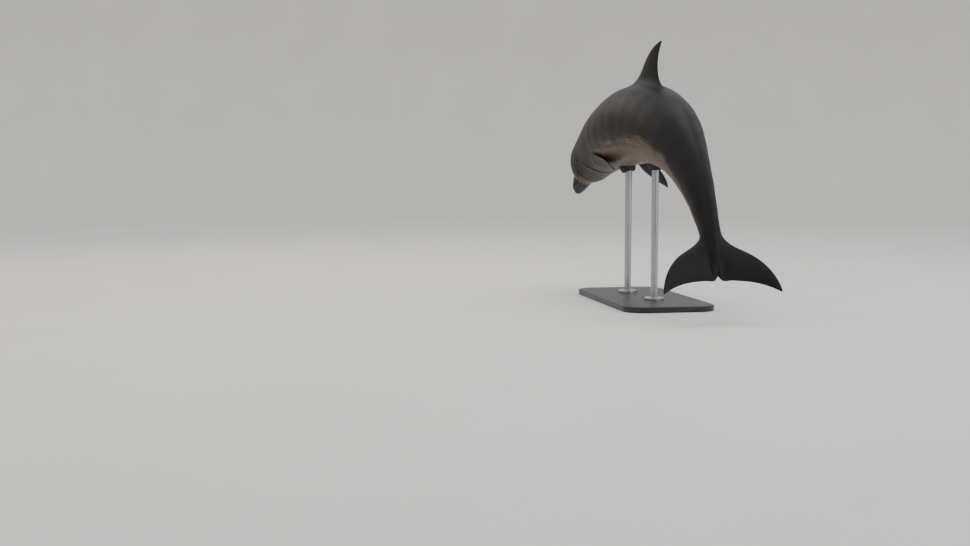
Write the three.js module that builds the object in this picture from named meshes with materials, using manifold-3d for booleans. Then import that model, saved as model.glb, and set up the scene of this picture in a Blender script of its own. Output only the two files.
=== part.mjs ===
// A life-size bottlenose dolphin, arched as at the top of a leap, held on a plain display stand.
// Millimetres, +Z up. The trunk heads along +X, and the animal's left side faces +Y.
// The origin is on the floor, under the middle of the stand's base.
//
// The animal is modelled straight, along one axis from the snout to the notch of the flukes, and parted
// there with thin cuts. Every piece is then bent along the spine into the pose. In the straight model
// the snout's tip is at x = 0, the tail runs to -x, +y is the left side and +z is the back.
import * as THREE from "three";
import { mergeVertices } from "three/addons/utils/BufferGeometryUtils.js";
import Module from "manifold-3d";

const wasm = await Module();
wasm.setup();

// ---------------------------------------------------------------- driving dimensions of the animal

const LENGTH = 2500; // tip of the upper beak to the notch of the flukes, along the body
const PERCENT = LENGTH / 100;
const GAP = 0.4; // clearance between neighbouring pieces
const AROUND = 24; // facets round the body
const ROWS_PER_SECTION = 3; // rows of facets from one section to the next
const REACH = 600; // half the size of a cutter, beyond any width or depth of the animal

// The body's sections, in percent of the length: their place behind the snout, the height of the back
// and the depth of the belly from the axis, half the width, and how far the flanks narrow to a keel
// above and below (0 is an ellipse). A smooth spline runs through them, from pole to pole.
const SECTIONS = [
  { name: "snout", at: -0.1, back: 0.0, belly: 0.0, side: 0.0, keel: 0 },
  { name: "beak tip", at: 0.2, back: 0.85, belly: 1.0, side: 1.1, keel: 0 },
  { name: "beak", at: 1.5, back: 1.4, belly: 1.5, side: 1.8, keel: 0 },
  { name: "beak root", at: 3.4, back: 1.75, belly: 1.95, side: 2.35, keel: 0 },
  { name: "crease", at: 5.2, back: 1.9, belly: 2.4, side: 2.6, keel: 0 },
  { name: "melon foot", at: 6.1, back: 3.7, belly: 2.8, side: 2.9, keel: 0 },
  { name: "melon", at: 7.6, back: 5.8, belly: 3.6, side: 4.1, keel: 0 },
  { name: "forehead", at: 9.8, back: 6.8, belly: 4.75, side: 5.15, keel: 0 },
  { name: "eyes", at: 12.8, back: 6.95, belly: 5.45, side: 5.3, keel: 0 },
  { name: "blowhole", at: 16.5, back: 7.2, belly: 6.0, side: 5.8, keel: 0 },
  { name: "neck", at: 21.0, back: 7.8, belly: 6.8, side: 6.8, keel: 0 },
  { name: "flippers", at: 27.0, back: 8.4, belly: 7.65, side: 7.75, keel: 0 },
  { name: "chest", at: 34.0, back: 9.2, belly: 8.4, side: 8.75, keel: 0 },
  { name: "girth", at: 41.0, back: 9.65, belly: 8.7, side: 8.9, keel: 0 },
  { name: "midriff", at: 48.0, back: 9.55, belly: 8.35, side: 8.4, keel: 0 },
  { name: "loin", at: 55.0, back: 8.9, belly: 7.9, side: 7.5, keel: 0.05 },
  { name: "vent", at: 62.0, back: 8.3, belly: 6.8, side: 6.5, keel: 0.12 },
  { name: "stock root", at: 69.0, back: 6.9, belly: 5.7, side: 4.9, keel: 0.2 },
  { name: "stock", at: 76.0, back: 5.5, belly: 4.55, side: 3.65, keel: 0.28 },
  { name: "keels", at: 83.0, back: 4.25, belly: 3.55, side: 2.72, keel: 0.32 },
  { name: "waist", at: 89.0, back: 3.1, belly: 2.65, side: 2.12, keel: 0.28 },
  { name: "fluke root", at: 94.0, back: 1.95, belly: 1.7, side: 1.9, keel: 0.15 },
  { name: "fluke middle", at: 97.0, back: 0.95, belly: 0.85, side: 1.3, keel: 0 },
  { name: "tail end", at: 98.8, back: 0.0, belly: 0.0, side: 0.0, keel: 0 },
];
const UNDERSHOT = 0.6; // how far the lower jaw leads the upper, per unit of depth below the axis
const UNDERSHOT_FADE = 5 * PERCENT; // where that lead has died away

// Thin cuts across the body, in percent of the length.
const CREASE_CUT = 5.7;
const NECK_CUT = 19.5;
const WAIST_CUT = 40;
const LOIN_CUT = 66;
const STOCK_CUT = 82;
const FLUKE_CUT = 93;
const TAIL_END = 108;

// The mouth line from the tip of the beak to its corner, as place behind the snout and height, in
// percent of the length, and the place on the throat where the lower jaw ends.
const MOUTH = [
  [-4, -0.15],
  [0, -0.15],
  [2.5, -0.4],
  [5, -1.15],
  [7.5, -2.1],
  [9.6, -2.6],
  [11, -2.55],
  [12.1, -2.1],
];
const JAW_END = [13.2, -9];

const EYE_RADIUS = 15;
const EYE_AT = 13.5; // percent of the length
const EYE_HEIGHT = -0.4; // percent of the length above the axis
const EYE_PROUD = 3; // how far the eyeball stands out of the head
const EYE_OUTWARD = [0.18, 1, -0.05]; // the way that the left eye looks
const EYE_FACETS = [14, 8]; // round it, and from pole to pole

const FIN_HEIGHT = 256;
const FIN_ROOT = [43.7, 52.7]; // front and rear of the dorsal fin on the back, percent of the length
const FIN_TIP = 52.9;
const FIN_HOLLOW = 1.25; // how far its trailing edge is hollowed, percent of the length
const FIN_ROUND = 1.0; // how far its leading edge is rounded off towards the tip, percent
const FIN_FLARE = [4.2, 2.0]; // how far its foot runs out along the back, in front and behind
const FIN_FLARE_FADE = [0.09, 0.08]; // share of the height over which that dies away
const FIN_BACK_END = 60; // behind this percent of the length the fin doesn't reach
const FIN_SINK = 14; // how deep the blade's root starts inside the back
const FIN_THICKNESS = [38, 6]; // at the root and at the tip
const FIN_FACETS = [18, 14]; // round the blade, and from root to tip

const FLUKE_SPAN = 620;
const FLUKE_FRONT = 93.5; // where the leading edge leaves the stock, percent of the length
const FLUKE_TIP = 104.1;
const FLUKE_FLARE = 2.25; // how far the leading edge runs out along the stock, percent
const FLUKE_FLARE_FADE = 0.07; // share of the span over which that dies away
const FLUKE_BULGE = 0.9; // how far the trailing edge stands behind the notch, percent
const FLUKE_NOTCH = 0.12; // share of the span that the notch takes
const FLUKE_TRAIL = 3; // how late the trailing edge turns back to the tip, as a power of the span
const FLUKE_LIFT = 43; // how far the tips curve up
const FLUKE_ROUNDNESS = 1.17; // of the leading edge, where 1 is an ellipse
const FLUKE_ROOT = 30; // where the leading edge starts, inside the stock
const FLUKE_THICKNESS = [34, 5];
const FLUKE_OVERLAP = 2; // how far the two blades run past the middle of the tail
const FIN_BLADE_FACETS = [16, 14]; // round a fluke or flipper, and from root to tip

const FLIPPER_AT = 24.5; // middle of the root, percent of the length
const FLIPPER_LENGTH = 368;
const FLIPPER_CHORD = 136;
const FLIPPER_LOW = 0.57; // the root's place down the flank, as a share of the belly's depth
const FLIPPER_OUT = 0.78; // and out to the side, as a share of the half width
const FLIPPER_HOLD = {
  // degrees below level, back towards the tail, and the leading edge's turn down
  left: { droop: 90, sweep: 67, twist: 40 },
  right: { droop: 82, sweep: 38, twist: 0 },
};
const FLIPPER_HOOK = 0.28; // how far the tip trails behind a straight blade, as a share of the length
const FLIPPER_SHOULDER = 0.62; // how much narrower its root is
const FLIPPER_SHOULDER_END = 0.25; // share of the length where it is at its full width
const FLIPPER_HOOK_POWER = 2.2; // how late that hook comes
const FLIPPER_TIP_POWER = 2.4; // how late the blade narrows, where 2 is an ellipse
const FLIPPER_THICKNESS = [30, 5];

// ---------------------------------------------------------------- driving dimensions of the pose

// The spine's direction at even steps from snout to notch, in degrees: above level, turned to the
// left, and rolled with the left side up.
const SPINE_PITCH = [-66, -45.8, -28.1, -13.4, -2.1, 16.5, 37.4, 52.7, 65.9, 81.2];
const SPINE_YAW = [22, 10.1, 8, 8.1, 4.7, 2.1, 1.7, 1.7, 1.7, 1.7];
const SPINE_ROLL = [-5, -5, -4, -8.2, -8.2, -0.2, 0.3, 0.3, 0.3, 0.3];
const PIVOT_SHARE = 0.45; // the place along the spine that is held at the pivot
const PIVOT = new THREE.Vector3(62.6, 44.2, 1010);
const SPINE_ENDS = [-0.06, 1.1];
const SPINE_STEPS = 580;

// ---------------------------------------------------------------- driving dimensions of the stand

const BASE_SIZE = [1120, 520]; // along the animal and across it
const BASE_CENTRE = [155, 25]; // under the rods
const BASE_CORNER = 110;
const BASE_THICKNESS = 32;
const BASE_BEVEL = 5;
const ROD_RADIUS = 20;
const ROD_SINK = 16; // how far a rod reaches into its pad
const ROD_PLACES = { front: 30, rear: 50.5 }; // under the belly, percent of the length
const PAD_RADII = [64, 40]; // against the belly and at the rod
const PAD_DEPTH = 30; // below the belly
const PAD_REACH = 40; // up to where the belly hollows it
const COLLAR_RADIUS = 56;
const COLLAR_HEIGHT = 16;
const COLLAR_BEVEL = 4;
const SEAT = 0.3; // clearance where one stand piece rests on another
const STAND_FACETS = 24; // round each rod, pad and collar

// ---------------------------------------------------------------- finishes

const FINISHES = {
  back: new THREE.MeshStandardMaterial({ color: "#3a3f45", roughness: 0.32, metalness: 0 }),
  belly: new THREE.MeshStandardMaterial({ color: "#a9a3a0", roughness: 0.34, metalness: 0 }),
  eye: new THREE.MeshStandardMaterial({ color: "#14100e", roughness: 0.08, metalness: 0 }),
  base: new THREE.MeshStandardMaterial({ color: "#26282b", roughness: 0.5, metalness: 0 }),
  steel: new THREE.MeshStandardMaterial({ color: "#b4b7ba", roughness: 0.3, metalness: 1 }),
  pad: new THREE.MeshStandardMaterial({ color: "#1b1c1e", roughness: 0.8, metalness: 0 }),
};

// ---------------------------------------------------------------- splines and the spine

/** A uniform cubic B-spline of the control values, at a share 0 to 1 of its run. */
function spline(values, share) {
  const spans = values.length - 3;
  const place = THREE.MathUtils.clamp(share, 0, 1) * spans;
  const span = Math.min(Math.floor(place), spans - 1);
  const t = place - span;
  const weights = [(1 - t) ** 3, 3 * t ** 3 - 6 * t ** 2 + 4, 3 * t * (1 + t - t * t) + 1, t ** 3];
  return weights.reduce((sum, weight, i) => sum + (weight * values[span + i]) / 6, 0);
}

/** The rotation of the body at a share of its length. */
function spineTurn(share) {
  const [pitch, yaw, roll] = [SPINE_PITCH, SPINE_YAW, SPINE_ROLL].map((values) =>
    THREE.MathUtils.degToRad(spline(values, share)),
  );
  return new THREE.Matrix4().makeRotationFromEuler(new THREE.Euler(roll, -pitch, yaw, "ZYX"));
}

/** The share of the length at one step of the spine's table. */
function stepShare(step) {
  return THREE.MathUtils.lerp(...SPINE_ENDS, step / SPINE_STEPS);
}

/** Points of the spine at even steps, walked from the snout's side and moved onto the pivot. */
function traceSpine() {
  const points = [new THREE.Vector3()];
  for (let step = 1; step <= SPINE_STEPS; step += 1) {
    const stride = (stepShare(step) - stepShare(step - 1)) * LENGTH;
    const heading = new THREE.Vector3(1, 0, 0).applyMatrix4(spineTurn(stepShare(step - 0.5)));
    points.push(points[step - 1].clone().addScaledVector(heading, -stride));
  }
  const held = spinePoint(points, PIVOT_SHARE);
  return points.map((point) => point.sub(held.clone().sub(PIVOT)));
}

/** The point at a share of the length, between the two nearest steps of the table. */
function spinePoint(points, share) {
  const place = THREE.MathUtils.inverseLerp(...SPINE_ENDS, share) * SPINE_STEPS;
  const step = THREE.MathUtils.clamp(Math.floor(place), 0, SPINE_STEPS - 1);
  return points[step].clone().lerp(points[step + 1], place - step);
}

const SPINE = traceSpine();

/** A point of the straight model, carried to its place in the pose. */
function bend(point) {
  const share = -point.x / LENGTH;
  const offset = new THREE.Vector3(0, point.y, point.z).applyMatrix4(spineTurn(share));
  return spinePoint(SPINE, share).add(offset);
}

// ---------------------------------------------------------------- the body's sections

/** One dimension of the sections as spline controls, mirrored past both poles. */
function controls(key) {
  const values = SECTIONS.map((section) => section[key]);
  const sign = key === "at" || key === "keel" ? 1 : -1;
  return [sign * values[1], ...values, sign * values.at(-2)];
}

const CONTROLS = Object.fromEntries(
  ["at", "back", "belly", "side", "keel"].map((key) => [key, controls(key)]),
);

/** The body's section at a share of the run of the table, in millimetres. */
function section(share) {
  const value = (key) => spline(CONTROLS[key], share);
  return {
    at: value("at") * PERCENT,
    back: value("back") * PERCENT,
    belly: value("belly") * PERCENT,
    side: value("side") * PERCENT,
    keel: value("keel"),
  };
}

/** The body's section at a distance behind the snout. */
function sectionAt(distance) {
  let [low, high] = [0, 1];
  for (let halving = 0; halving < 40; halving += 1) {
    const middle = (low + high) / 2;
    if (section(middle).at < distance) {
      low = middle;
    } else {
      high = middle;
    }
  }
  return section(low);
}

/** The straight body's skin at a turn round it (0 is the back) and a share of the table's run. */
function bodyPoint(turn, share, grow) {
  const { at, back, belly, side, keel } = section(share);
  const rise = Math.cos(turn * 2 * Math.PI);
  const across = Math.sin(turn * 2 * Math.PI);
  const thick = back > 0 ? grow : 0;
  const y = (side + thick) * across * Math.abs(across) ** keel;
  const z = (rise > 0 ? back + thick : belly + thick) * rise;
  const lead = -z * UNDERSHOT * (1 - THREE.MathUtils.smoothstep(at, 0, UNDERSHOT_FADE));
  return new THREE.Vector3(lead - at, y, z);
}

// ---------------------------------------------------------------- solids

/** A sphere's grid with each vertex moved to place(turn, share), as one closed solid. */
function gridSolid(around, rows, place) {
  const geometry = new THREE.SphereGeometry(1, around, rows);
  const { position } = geometry.attributes;
  for (let i = 0; i < position.count; i += 1) {
    const row = Math.floor(i / (around + 1));
    const turn = (i % (around + 1)) / around;
    const point = place(row === 0 || row === rows ? 0 : turn, row / rows);
    position.setXYZ(i, ...point.toArray());
  }
  return solid(geometry);
}

/** A closed three.js geometry as a solid that can be joined and cut. */
function solid(geometry) {
  geometry.deleteAttribute("normal");
  geometry.deleteAttribute("uv");
  const merged = mergeVertices(geometry);
  const triVerts = new Uint32Array(merged.index.array);
  const vertProperties = new Float32Array(merged.attributes.position.array);
  const made = new wasm.Manifold(new wasm.Mesh({ numProp: 3, vertProperties, triVerts }));
  if (made.volume() > 0) {
    return made;
  }
  return new wasm.Manifold(
    new wasm.Mesh({ numProp: 3, vertProperties, triVerts: triVerts.reverse() }),
  );
}

/** The geometry of a solid, with each vertex passed through move. */
function geometryOf(made, move = (point) => point) {
  const mesh = made.getMesh();
  const positions = [];
  for (let i = 0; i < mesh.vertProperties.length; i += mesh.numProp) {
    const [x, y, z] = mesh.vertProperties.slice(i, i + 3);
    positions.push(...move(new THREE.Vector3(x, y, z)).toArray());
  }
  const geometry = new THREE.BufferGeometry();
  geometry.setAttribute("position", new THREE.Float32BufferAttribute(positions, 3));
  geometry.setIndex([...mesh.triVerts]);
  geometry.computeVertexNormals();
  return geometry;
}

/** A box between two places along the straight body, kept half a gap clear of both. */
function slice(from, to) {
  const [start, end] = [from * PERCENT + GAP / 2, to * PERCENT - GAP / 2];
  const box = new THREE.BoxGeometry(end - start, 2 * REACH, 2 * REACH);
  box.translate(-(start + end) / 2, 0, 0);
  return solid(box);
}

/** A side view outline, given as places behind the snout and heights, swept across the body. */
function sidePrism(outline) {
  const shape = new THREE.Shape(outline.map(([at, height]) => new THREE.Vector2(-at, height)));
  const prism = new THREE.ExtrudeGeometry(shape, { depth: 2 * REACH, bevelEnabled: false });
  prism.translate(0, 0, -REACH);
  prism.rotateX(Math.PI / 2);
  return solid(prism);
}

// ---------------------------------------------------------------- body and head

/** The straight body from the snout to the flukes' middle, grown by a clearance. */
function body(grow = 0) {
  const rows = Math.round((SECTIONS.length - 1) * ROWS_PER_SECTION);
  return gridSolid(AROUND, rows, (turn, share) => bodyPoint(turn, share, grow));
}

/** Points of the mouth line, moved up or down by a clearance. */
function mouthLine(shift) {
  const knots = MOUTH.map(([at, height]) => new THREE.Vector2(at * PERCENT, height * PERCENT + shift));
  return new THREE.SplineCurve(knots).getPoints(14).map((point) => point.toArray());
}

/** The lower jaw: below the mouth line and ahead of the slant from its corner to the throat. */
function jawPrism(grow) {
  const line = mouthLine(grow);
  line.at(-1)[0] += grow;
  const throat = [JAW_END[0] * PERCENT + grow, JAW_END[1] * PERCENT];
  return sidePrism([...line, throat, [line[0][0], throat[1]]]);
}

/** The point on the skin at an eye's middle and the skin's outward direction there. */
function eyeSeat(side) {
  const { side: half, belly } = sectionAt(EYE_AT * PERCENT);
  const height = EYE_HEIGHT * PERCENT;
  const y = half * Math.sqrt(1 - (height / belly) ** 2);
  const outward = new THREE.Vector3(...EYE_OUTWARD);
  outward.y *= side;
  outward.normalize();
  return { point: new THREE.Vector3(-EYE_AT * PERCENT, side * y, height), outward };
}

/** One eyeball, or with a clearance the socket that it sits in. */
function eyeBall(side, grow = 0) {
  const { point, outward } = eyeSeat(side);
  const centre = point.addScaledVector(outward, EYE_PROUD - EYE_RADIUS);
  const ball = new THREE.SphereGeometry(EYE_RADIUS + grow, ...EYE_FACETS);
  ball.translate(...centre.toArray());
  return solid(ball);
}

// ---------------------------------------------------------------- fins

/** Half the thickness of a blade at a share of its chord, as a share of its whole thickness. */
function foil(share) {
  return 1.3 * Math.sqrt(share) * (1 - share) ** 0.85 + 0.06 * Math.sqrt(share * (1 - share));
}

/**
 * A blade whose chord runs from lead(s) to trail(s), for s from the root (0) to the tip (1), with
 * its thickness along normal.
 */
function blade({ lead, trail, normal, thickness }, [around, rows]) {
  return gridSolid(around, rows, (turn, share) => {
    const ring = Math.max(0, (share * rows - 1) / (rows - 1));
    const s = Math.sin((ring * Math.PI) / 2);
    const chord = share === 0 ? 0.5 : (1 - Math.cos(turn * 2 * Math.PI)) / 2;
    const side = Math.sign(0.5 - turn);
    const thick = THREE.MathUtils.lerp(...thickness, s ** 0.8);
    const half = share === 0 || share === 1 ? 0 : side * thick * foil(chord);
    return lead(s).lerp(trail(s), chord).addScaledVector(normal, half);
  });
}

/** The dorsal fin's blade, hooked back, with its foot run out along the back. */
function dorsalBlade() {
  const onBack = (at, s) => {
    const foot = sectionAt(Math.min(at, FIN_BACK_END) * PERCENT).back - FIN_SINK;
    return new THREE.Vector3(-at * PERCENT, 0, foot + (FIN_HEIGHT + FIN_SINK) * s);
  };
  return {
    lead: (s) => {
      const swept = THREE.MathUtils.lerp(FIN_ROOT[0], FIN_TIP, 0.8 * s + 0.2 * s ** 5);
      const flare = FIN_FLARE[0] * Math.exp(-s / FIN_FLARE_FADE[0]) * (1 - s);
      return onBack(swept - flare - FIN_ROUND * Math.sqrt(1 - s), s);
    },
    trail: (s) => {
      const swept = THREE.MathUtils.lerp(FIN_ROOT[1], FIN_TIP, s ** 2.2);
      const hollow = FIN_HOLLOW * Math.sin(Math.PI * s);
      const flare = FIN_FLARE[1] * Math.exp(-s / FIN_FLARE_FADE[1]) * (1 - s);
      return onBack(swept - hollow + flare, s);
    },
    normal: new THREE.Vector3(0, 1, 0),
    thickness: FIN_THICKNESS,
  };
}

/** One fluke's blade, from the middle of the tail to its tip. */
function flukeBlade(side) {
  const half = FLUKE_SPAN / 2;
  const lift = (y) => FLUKE_LIFT * (y / half) ** 2;
  const place = (at, y) => new THREE.Vector3(-at * PERCENT, side * y, lift(y));
  return {
    lead: (s) => {
      const turn = (s * Math.PI) / 2;
      const at = FLUKE_TIP - (FLUKE_TIP - FLUKE_FRONT) * Math.cos(turn) ** FLUKE_ROUNDNESS;
      const flare = FLUKE_FLARE * Math.exp(-s / FLUKE_FLARE_FADE) * (1 - s);
      return place(at - flare, FLUKE_ROOT + (half - FLUKE_ROOT) * Math.sin(turn));
    },
    trail: (s) => {
      const bulge = FLUKE_BULGE * Math.min(1, s / FLUKE_NOTCH) * (1 - s ** 3);
      const reach = (half + FLUKE_OVERLAP) * s - FLUKE_OVERLAP;
      return place(100 + bulge + (FLUKE_TIP - 100) * s ** FLUKE_TRAIL, reach);
    },
    normal: new THREE.Vector3(0, 0, side),
    thickness: FLUKE_THICKNESS,
  };
}

/** One flipper's blade, from inside the chest to its tip. */
function flipperBlade(side, hold) {
  const { side: half, belly } = sectionAt(FLIPPER_AT * PERCENT);
  const [droop, sweep, twist] = [hold.droop, hold.sweep, hold.twist].map(THREE.MathUtils.degToRad);
  const out = new THREE.Vector3(0, side * Math.cos(droop), -Math.sin(droop));
  const along = out.clone().multiplyScalar(Math.cos(sweep));
  along.x = -Math.sin(sweep);
  const back = out.clone().multiplyScalar(-Math.sin(sweep));
  back.x = -Math.cos(sweep);
  back.applyAxisAngle(along, side * twist);
  const root = new THREE.Vector3(
    -FLIPPER_AT * PERCENT,
    side * half * FLIPPER_OUT,
    -belly * FLIPPER_LOW,
  );
  const spine = (s) => {
    const hook = FLIPPER_LENGTH * FLIPPER_HOOK * s ** FLIPPER_HOOK_POWER;
    return root.clone().addScaledVector(along, FLIPPER_LENGTH * s).addScaledVector(back, hook);
  };
  const chord = (s) => {
    const shoulder = THREE.MathUtils.smoothstep(s, 0, FLIPPER_SHOULDER_END);
    return FLIPPER_CHORD * THREE.MathUtils.lerp(FLIPPER_SHOULDER, 1, shoulder);
  };
  return {
    lead: (s) => spine(s).addScaledVector(back, -chord(s) / 2),
    trail: (s) => {
      const width = chord(s) * (Math.sqrt(1 - s ** FLIPPER_TIP_POWER) - 0.5);
      return spine(s).addScaledVector(back, width);
    },
    normal: along.clone().cross(back).normalize(),
    thickness: FLIPPER_THICKNESS,
  };
}

// ---------------------------------------------------------------- the animal's pieces

/** Every piece of the animal in the straight model, by name. */
function animalPieces() {
  const whole = body();
  const cover = body(GAP);
  const sides = { left: 1, right: -1 };
  const tail = whole
    .add(blade(flukeBlade(1), FIN_BLADE_FACETS))
    .add(blade(flukeBlade(-1), FIN_BLADE_FACETS));
  const front = slice(-4, CREASE_CUT).subtract(jawPrism(GAP / 2));
  const sockets = eyeBall(1, GAP).add(eyeBall(-1, GAP));
  const pieces = {
    upper_beak: whole.intersect(front),
    lower_jaw: whole.intersect(jawPrism(-GAP / 2)),
    head: whole.intersect(slice(CREASE_CUT, NECK_CUT)).subtract(jawPrism(GAP / 2)).subtract(sockets),
    chest: whole.intersect(slice(NECK_CUT, WAIST_CUT)),
    trunk: whole.intersect(slice(WAIST_CUT, LOIN_CUT)),
    tail_stock_front: whole.intersect(slice(LOIN_CUT, STOCK_CUT)),
    tail_stock_rear: whole.intersect(slice(STOCK_CUT, FLUKE_CUT)),
    dorsal_fin: blade(dorsalBlade(), FIN_FACETS).subtract(cover),
  };
  for (const [name, side] of Object.entries(sides)) {
    const half = new THREE.BoxGeometry(REACH, REACH, REACH);
    half.translate(-LENGTH, (side * (REACH + GAP)) / 2, 0);
    pieces[`fluke_${name}`] = tail.intersect(slice(FLUKE_CUT, TAIL_END)).intersect(solid(half));
    const flipper = blade(flipperBlade(side, FLIPPER_HOLD[name]), FIN_BLADE_FACETS);
    pieces[`flipper_${name}`] = flipper.subtract(cover);
    pieces[`eye_${name}`] = eyeBall(side);
  }
  return pieces;
}

// ---------------------------------------------------------------- the stand

/** The plate on the floor, with round corners and a bevelled rim. */
function standBase() {
  const [x, y] = BASE_SIZE.map((size) => size / 2 - BASE_CORNER);
  const shape = new THREE.Shape();
  const corners = [[x, y, 0], [-x, y, 0.5], [-x, -y, 1], [x, -y, 1.5]];
  for (const [cx, cy, turn] of corners) {
    shape.absarc(cx, cy, BASE_CORNER, turn * Math.PI, (turn + 0.5) * Math.PI);
  }
  const plate = new THREE.ExtrudeGeometry(shape, {
    depth: BASE_THICKNESS - 2 * BASE_BEVEL,
    curveSegments: 3,
    bevelSize: BASE_BEVEL,
    bevelThickness: BASE_BEVEL,
    bevelOffset: -BASE_BEVEL,
    bevelSegments: 2,
  });
  plate.translate(...BASE_CENTRE, BASE_BEVEL);
  return solid(plate);
}

/** Where a rod meets the belly: the point on the skin and the way out of the body. */
function bellySeat(at) {
  const { belly } = sectionAt(at * PERCENT);
  const point = bend(new THREE.Vector3(-at * PERCENT, 0, -belly));
  const outward = new THREE.Vector3(0, 0, -1).applyMatrix4(spineTurn(at / 100));
  return { point, outward };
}

/** The round pad at a seat, before the belly hollows it, grown by a clearance. */
function padBlank({ point, outward }, grow) {
  const [top, foot] = PAD_RADII;
  const height = PAD_DEPTH + PAD_REACH + grow;
  const pad = new THREE.CylinderGeometry(top + grow, foot + grow, height, STAND_FACETS);
  pad.translate(0, PAD_REACH - height / 2, 0);
  const upright = new THREE.Quaternion().setFromUnitVectors(
    new THREE.Vector3(0, 1, 0),
    outward.clone().negate(),
  );
  pad.applyQuaternion(upright);
  pad.translate(...point.toArray());
  return solid(pad);
}

/** The place on the plan where a rod stands, and the height of the middle of its pad's foot. */
function rodTop({ point, outward }) {
  return point.clone().addScaledVector(outward, PAD_DEPTH);
}

/** One upright rod from the plate into its pad. */
function rod(seat) {
  const top = rodTop(seat);
  const foot = BASE_THICKNESS + SEAT;
  const height = top.z + ROD_SINK - foot;
  const bar = new THREE.CylinderGeometry(ROD_RADIUS, ROD_RADIUS, height, STAND_FACETS);
  bar.rotateX(Math.PI / 2);
  bar.translate(top.x, top.y, foot + height / 2);
  return solid(bar).subtract(padBlank(seat, GAP));
}

/** The ring round the foot of a rod. */
function collar(seat) {
  const { x, y } = rodTop(seat);
  const inner = ROD_RADIUS + GAP;
  const profile = [
    [inner, 0],
    [COLLAR_RADIUS, 0],
    [COLLAR_RADIUS, COLLAR_HEIGHT - COLLAR_BEVEL],
    [COLLAR_RADIUS - COLLAR_BEVEL, COLLAR_HEIGHT],
    [inner, COLLAR_HEIGHT],
    [inner, 0],
  ];
  const points = profile.map(([radius, height]) => new THREE.Vector2(radius, height));
  const ring = new THREE.LatheGeometry(points, STAND_FACETS);
  ring.rotateX(Math.PI / 2);
  ring.translate(x, y, BASE_THICKNESS + SEAT);
  return solid(ring);
}

/** Every piece of the stand, by name. */
function standPieces() {
  const cover = solid(geometryOf(body(GAP), bend));
  const pieces = { stand_base: standBase() };
  for (const [name, at] of Object.entries(ROD_PLACES)) {
    const seat = bellySeat(at);
    pieces[`stand_rod_${name}`] = rod(seat);
    pieces[`stand_pad_${name}`] = padBlank(seat, 0).subtract(cover);
    pieces[`stand_collar_${name}`] = collar(seat);
  }
  return pieces;
}

// ---------------------------------------------------------------- the scene graph

/** The finish of a piece, from its name. */
function finishOf(name) {
  const [first, second] = name.split("_");
  const stand = { base: FINISHES.base, pad: FINISHES.pad, rod: FINISHES.steel, collar: FINISHES.steel };
  if (first === "stand") {
    return stand[second];
  }
  return { eye: FINISHES.eye, lower: FINISHES.belly }[first] ?? FINISHES.back;
}

/** A group of named meshes, one for each piece. */
function groupOf(pieces, move) {
  const group = new THREE.Group();
  for (const [name, made] of Object.entries(pieces)) {
    const mesh = new THREE.Mesh(geometryOf(made, move), finishOf(name).clone());
    mesh.name = name;
    group.add(mesh);
  }
  return group;
}

const dolphin = new THREE.Group();
dolphin.add(groupOf(animalPieces(), bend));
dolphin.add(groupOf(standPieces()));

export default dolphin;
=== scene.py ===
"""Dresses the bottlenose dolphin model: one seamless skin, its eyes, the stand and a plain studio.

Everything is in metres, +Z up, with the origin on the floor under the stand. The skin is modelled
straight, along one axis from the snout to the notch of the flukes, and then bent along the spine.
In the straight model the snout's tip is at x = 0, the tail runs to -x, +y is the left side and +z
is the back.
"""

import logging
import math
from collections.abc import Callable
from dataclasses import dataclass, field
from enum import Enum

import bmesh
import bpy
import numpy as np
from mathutils import Euler, Matrix, Vector


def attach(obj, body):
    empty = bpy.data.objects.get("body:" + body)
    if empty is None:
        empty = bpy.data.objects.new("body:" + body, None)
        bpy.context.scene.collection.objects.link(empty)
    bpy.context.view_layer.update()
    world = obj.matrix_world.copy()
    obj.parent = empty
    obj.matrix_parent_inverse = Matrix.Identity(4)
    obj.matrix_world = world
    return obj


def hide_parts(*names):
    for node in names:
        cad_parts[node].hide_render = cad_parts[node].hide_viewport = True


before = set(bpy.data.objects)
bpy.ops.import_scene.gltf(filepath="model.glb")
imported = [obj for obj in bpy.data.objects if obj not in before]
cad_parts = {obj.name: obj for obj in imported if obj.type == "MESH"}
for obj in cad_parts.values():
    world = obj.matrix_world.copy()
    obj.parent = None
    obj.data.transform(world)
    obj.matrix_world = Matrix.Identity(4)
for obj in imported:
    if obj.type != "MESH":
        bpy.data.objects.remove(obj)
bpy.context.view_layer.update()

LOG = logging.getLogger("dolphin")
MM = 0.001
LENGTH = 2.5
PERCENT = LENGTH / 100

Loop = list[bmesh.types.BMVert]
Colour = tuple[float, float, float, float]
Triple = tuple[float, float, float]

# Sockets of a colour Mix node: what lies under, what lies over, and the colour that comes out.
MIX_UNDER, MIX_OVER, MIX_COLOUR = 6, 7, 2


# ------------------------------------------------------------------------------- small helpers


def colour(code: str) -> Colour:
    """Turn an sRGB hex code into the linear colour that Blender works in.

    Args:
        code: Six hex digits, with or without a leading #.

    Returns:
        Linear red, green, blue and an alpha of 1.
    """
    digits = code.lstrip("#")
    values = [int(digits[i : i + 2], 16) / 255 for i in (0, 2, 4)]
    linear = [v / 12.92 if v <= 0.04045 else ((v + 0.055) / 1.055) ** 2.4 for v in values]
    return (*linear, 1.0)


def add_node(tree: bpy.types.NodeTree, kind: str, inputs: dict | None = None, **settings) -> bpy.types.Node:
    """Add a node, set its properties, and set or link its inputs.

    Args:
        tree: The node tree to add to.
        kind: The node's type name.
        inputs: Socket name or number to a value, or to the output socket that feeds it.
        **settings: Properties of the node itself.

    Returns:
        The new node.
    """
    made = tree.nodes.new(kind)
    for name, value in settings.items():
        setattr(made, name, value)
    for key, value in (inputs or {}).items():
        if isinstance(value, bpy.types.NodeSocket):
            tree.links.new(value, made.inputs[key])
        else:
            made.inputs[key].default_value = value
    return made


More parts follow.
